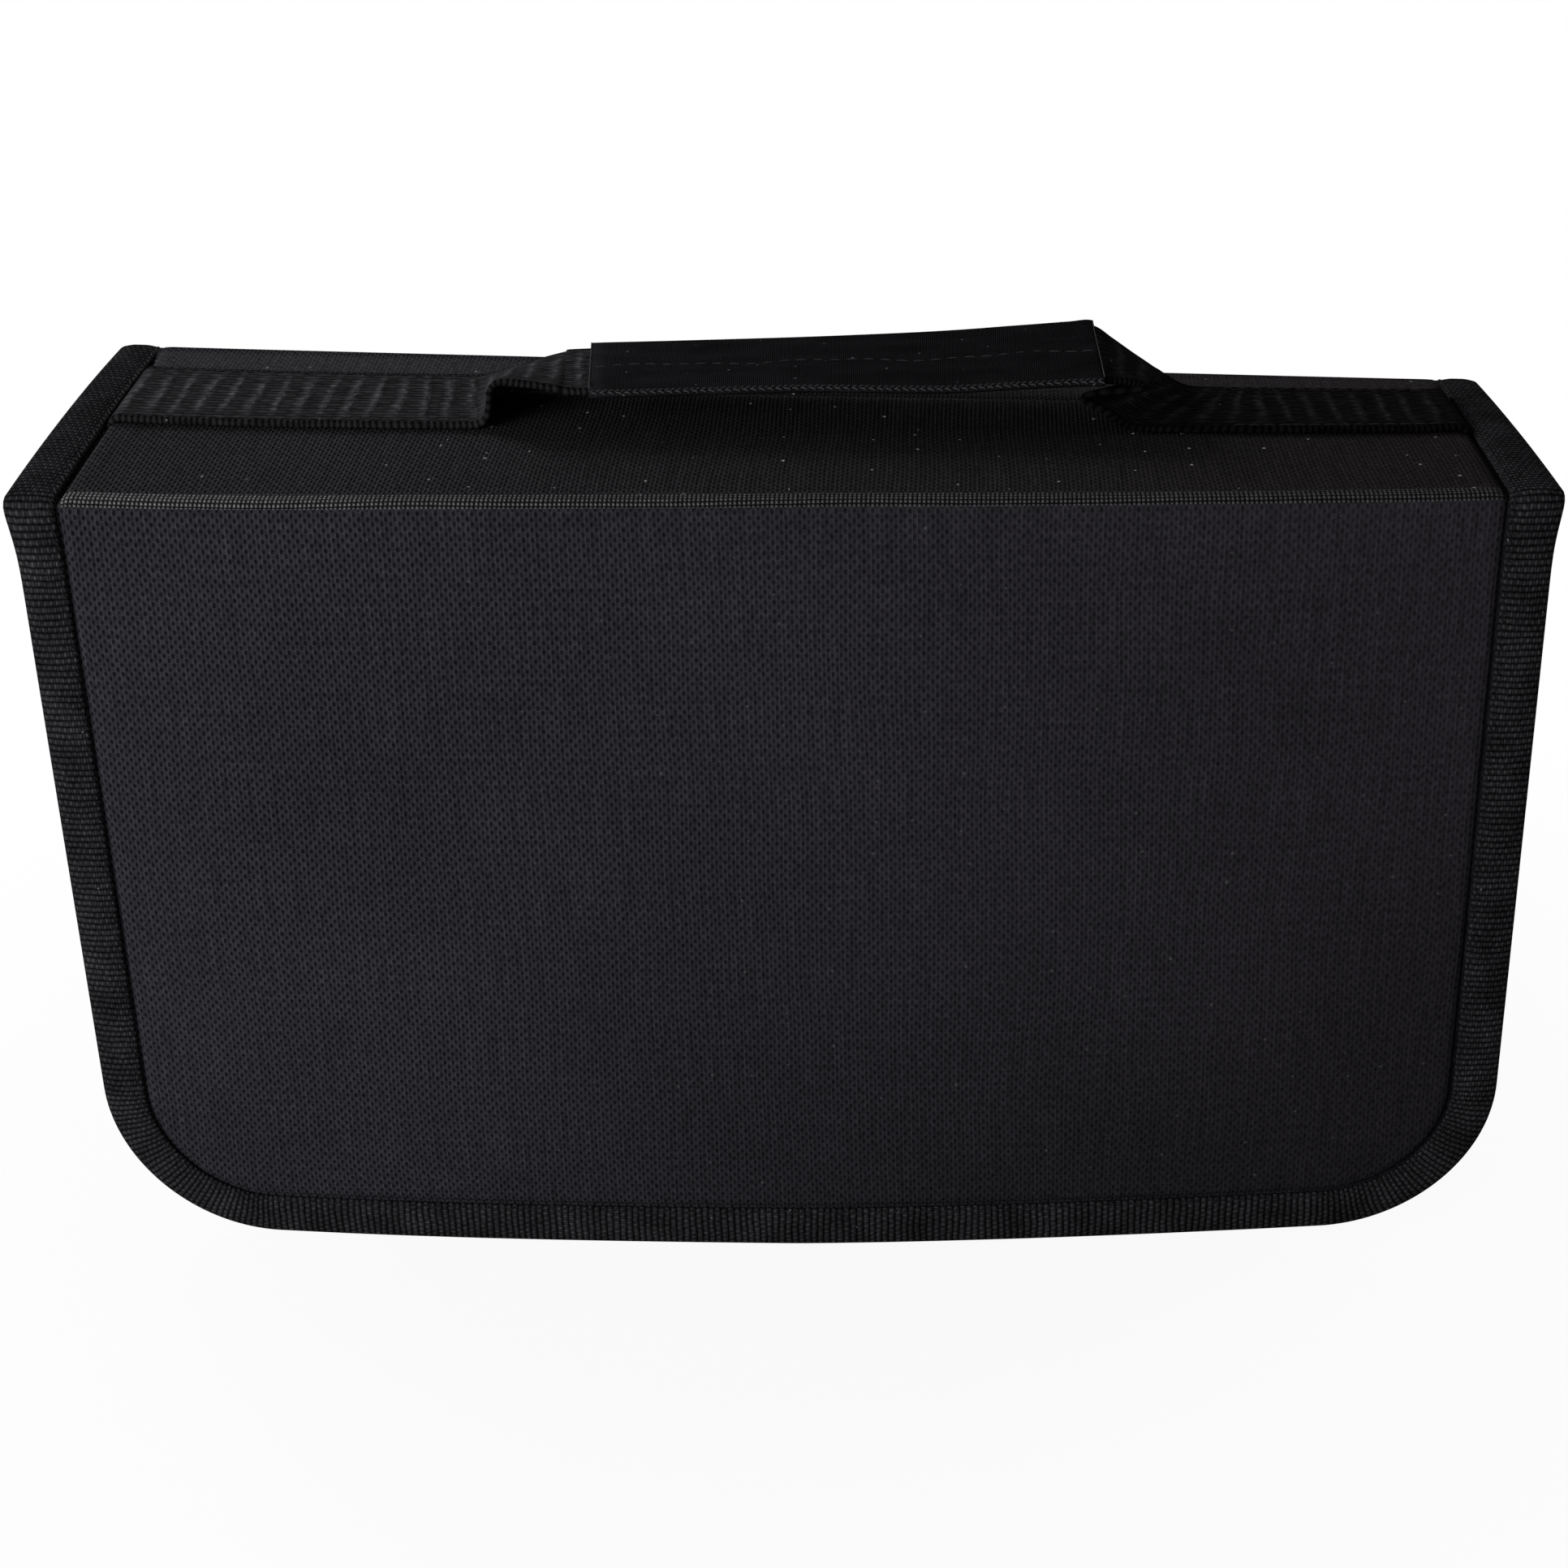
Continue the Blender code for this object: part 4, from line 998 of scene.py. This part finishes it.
def make_grip():
    """The folded cloth grip round the webbing, with its seam and its rough front edge."""
    front, back = strap_edges(SLEEVE_WIDTH)
    first, last = (np.argmax(front[:, 0] > x) for x in (SLEEVE_START, SLEEVE_END))
    front, back = front[first:last + 1], back[first:last + 1]
    half = STRAP / 2 + SLEEVE_RISE
    section = band_section(SLEEVE_WIDTH, half, 14)
    section[:, 1] *= np.interp(section[:, 0], (0, 1.5, 5.5), (0.45, 0.55, 1.0))
    points, _ = band(front, back, section)
    shape = Shape()
    shape.grid(points, paired(lengths((front + back) / 2)[:, None], lengths(section)[None]))
    piece = shape.piece("grip", grip_cloth, thickness=SLEEVE_CLOTH)
    on_body(piece, "spine", "handle_grip", slot="black_cloth")
    seam = Shape()
    line, up = along_band(front, back, 0.46, half)
    drift = 0.7 * np.sin(line[:, :1] * 0.16) + 0.5 * np.sin(line[:, :1] * 0.37 + 1)
    stitched(seam, line + [0, 1, 0] * drift, up, 3.6, 2.6, 0.10)
    for share, height, pitch, slant in ((0.03, 0.5, 1.3, 1.0), (0.012, 0.3, 1.75, -0.7)):
        line, up = along_band(front, back, share, half * height)
        stitched(seam, line, up, pitch, 0.95 * pitch, 0.18, slant=slant)
    for end in (0, -1):
        hem = (front[end] + (back[end] - front[end]) * np.linspace(0.03, 0.97, 40)[:, None])
        up = np.tile(np.cross([1.0, 0, 0], back[end] - front[end]), (40, 1))
        up /= np.linalg.norm(up, axis=1, keepdims=True)
        stitched(seam, hem + up * half * 0.97, up, 1.1, 1.2, 0.12)
    on_body(seam.piece("grip_stitches", pale_thread), "spine", slot="black_cloth")


def make_pages():
    """The sleeves' sheets, sewn together at the top, with pockets on the outermost two."""
    low, high = (np.array(corner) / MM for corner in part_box("disc_pages"))
    sheets, corner, rows = 18, 12.0, 14
    z = np.concatenate([low[2] + corner * (1 - np.cos(np.linspace(0, math.pi / 2, 6))),
                        np.linspace(low[2] + corner, high[2], rows)[1:]])
    cut_in = corner - np.sqrt((corner ** 2 - (low[2] + corner - z).clip(0) ** 2).clip(0))
    x = (high[0] - cut_in)[:, None] * np.linspace(-1, 1, 25)
    z = z[:, None] + 0 * x
    share = (high[2] - z) / (high[2] - low[2])
    width = PAGES_TOP_WIDTH + (high[1] - low[1] - PAGES_TOP_WIDTH) * share
    shape = Shape()
    for k in range(sheets):
        place = (k + 0.5) / sheets - 0.5
        wave = 0.18 * share * np.sin(x * 0.045 + 1.9 * k) * np.sin(z * 0.03 + k)
        sides = [np.stack([x, place * width + wave + side, z], -1) for side in (-0.2, 0.2)]
        plate_between(shape, *sides, np.stack([x, z], -1))
    on_body(shape.piece("pages", page_cloth), "spine", "disc_pages", slot="pages")
    pockets = Shape()
    for side in (-1, 1):
        for end in (-1, 1):
            px = np.linspace(3, high[0] - 4, 21)[None, :] * end
            notch = 9 * np.exp(-((abs(px) - high[0] / 2) / 15) ** 2)
            pz = low[2] + 4 + np.linspace(0, 1, 9)[:, None] * (122 - notch)
            px = px + 0 * pz
            reach = np.interp(pz, (low[2], high[2]), ((high[1] - low[1]) / 2, PAGES_TOP_WIDTH / 2))
            puff = 0.5 * np.sin((abs(px) - 3) / (high[0] - 7) * math.pi).clip(0) ** 0.3
            sheet = [np.stack([px, side * (reach + d - 0.4 + puff * d), pz], -1)
                     for d in (0.35, 0.6)]
            plate_between(pockets, *sheet, np.stack([px, pz], -1))
    on_body(pockets.piece("page_pockets", pocket_film), "spine", slot="pages")


def make_page_strip():
    """The cloth strip that the pages hang from."""
    low, high = (np.array(corner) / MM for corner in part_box("page_strip"))
    x, y = np.meshgrid(np.linspace(low[0], high[0], 41), np.linspace(low[1], high[1], 9))
    shape = Shape()
    plate_between(shape, *(np.stack([x, y, level + 0 * x], -1) for level in (high[2], low[2])),
                  np.stack([x, y], -1))
    on_body(shape.piece("strip", lining), "spine", "page_strip", slot="lining")


for word in SIDES:
    make_cloth(word)
    make_cover_layer(word, "board", BOARD_INSET, BOARD_DEPTH, BOARD, board, top=COVER_TOP - 1)
    make_cover_layer(word, "lining", SEAM_INSET, LINING_DEPTH, LINING, lining)
    make_binding(word)
    make_gusset(word)
    make_zip_tape(word)
    make_coil(word)
make_spine_layer("board", BOARD_INSET, BOARD_DEPTH, BOARD, board)
make_spine_layer("lining", SEAM_INSET, LINING_DEPTH, LINING, lining)
make_strap()
make_grip()
make_pages()
make_page_strip()

for name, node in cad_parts.items():
    for key, material in {"slider": metal, "pull": metal, "stop": coil_nylon}.items():
        if key in name:
            for slot in node.material_slots:
                slot.material = material


def seen_ray(tree):
    """One for rays that show the backdrop: from the camera, reflected or let through."""
    paths = added(tree, "LightPath").outputs
    share = paths["Is Camera Ray"]
    for name in ("Is Glossy Ray", "Is Transmission Ray"):
        share = worked_out(tree, "MAXIMUM", share, paths[name])
    return share


def make_stage():
    """A pale floor that is white to the camera, and keeps the case's shadow close to it."""
    mesh = bpy.data.meshes.new("floor")
    r = 4.0
    mesh.from_pydata([(-r, -r, 0), (r, -r, 0), (r, r, 0), (-r, r, 0)], [], [(0, 1, 2, 3)])
    floor = bpy.data.objects.new("floor", mesh)
    floor.location.z = -0.0002
    bpy.context.scene.collection.objects.link(floor)
    material = bpy.data.materials.new("floor")
    material.use_nodes = True
    tree = material.node_tree
    tree.nodes.clear()
    distance = added(tree, "VectorMath")
    distance.operation = "LENGTH"
    put(tree, distance.inputs[0], added(tree, "NewGeometry").outputs["Position"])
    far = added(tree, "MapRange", Value=distance.outputs["Value"], From_Min=0.1, From_Max=0.32,
                To_Min=0.93, To_Max=1.0)
    share = worked_out(tree, "MULTIPLY", seen_ray(tree), far.outputs[0])
    plain = added(tree, "BsdfDiffuse", Color=(0.5, 0.5, 0.5))
    white = added(tree, "Emission", Strength=1.0)
    mix = added(tree, "MixShader")
    for socket, source in zip(mix.inputs, (share, plain.outputs[0], white.outputs[0])):
        put(tree, socket, source)
    added(tree, "OutputMaterial", Surface=mix.outputs[0])
    mesh.materials.append(material)


def make_world():
    """Dim even light from all round; white to the camera and in reflections."""
    world = bpy.data.worlds.new("studio")
    bpy.context.scene.world = world
    world.use_nodes = True
    tree = world.node_tree
    background = tree.nodes["Background"].inputs
    strength = added(tree, "MapRange", Value=seen_ray(tree), To_Min=0.15, To_Max=1.0)
    put(tree, background["Strength"], strength.outputs[0])
    put(tree, background["Color"], (1, 1, 1))


def make_lamp(name, place, target, size, power):
    """A soft square lamp that faces a target."""
    data = bpy.data.lights.new(name, "AREA")
    data.shape = "RECTANGLE"
    data.size = data.size_y = size
    data.energy = power
    lamp = bpy.data.objects.new(name, data)
    lamp.location = place
    lamp.rotation_euler = (Vector(target) - Vector(place)).to_track_quat("-Z", "Y").to_euler()
    bpy.context.scene.collection.objects.link(lamp)


# The photograph's camera: pixels, then degrees and metres
IMAGE = 1932
FOCAL = 3315
CENTRE = (976.5, 965.3)
PITCH_ROLL_YAW = (26.12, -1.61, -3.64)
CAMERA_PLACE = (0.03422, -0.5409, 0.35775)


def make_camera():
    """The photograph's view: a little to the right of the middle and 26 degrees down."""
    pitch, roll, yaw = (math.radians(a) for a in PITCH_ROLL_YAW)
    forward = Vector(
        (math.sin(yaw) * math.cos(pitch), math.cos(yaw) * math.cos(pitch), -math.sin(pitch)))
    level = Vector((math.cos(yaw), -math.sin(yaw), 0))
    upright = level.cross(forward)
    right = math.cos(roll) * level + math.sin(roll) * upright
    up = math.cos(roll) * upright - math.sin(roll) * level
    data = bpy.data.cameras.new("camera")
    data.sensor_width = 36.0
    data.lens = data.sensor_width * FOCAL / IMAGE
    data.shift_x = (IMAGE / 2 - CENTRE[0]) / IMAGE
    data.shift_y = (CENTRE[1] - IMAGE / 2) / IMAGE
    camera = bpy.data.objects.new("camera", data)
    turned = Matrix((right, up, -forward)).transposed()
    camera.matrix_world = Matrix.Translation(CAMERA_PLACE) @ turned.to_4x4()
    bpy.context.scene.collection.objects.link(camera)
    bpy.context.scene.camera = camera


make_stage()
make_world()
make_lamp("key", (-0.55, -0.62, 0.34), (0, 0, 0.1), 0.45, 7.3)
make_lamp("back", (-0.55, 0.42, 0.47), (-0.05, 0, 0.17), 0.3, 5.2)
make_lamp("side", (0.8, 0.15, 0.25), (0.15, 0, 0.09), 0.4, 2.0)
make_camera()
bpy.context.scene.view_settings.view_transform = "Standard"
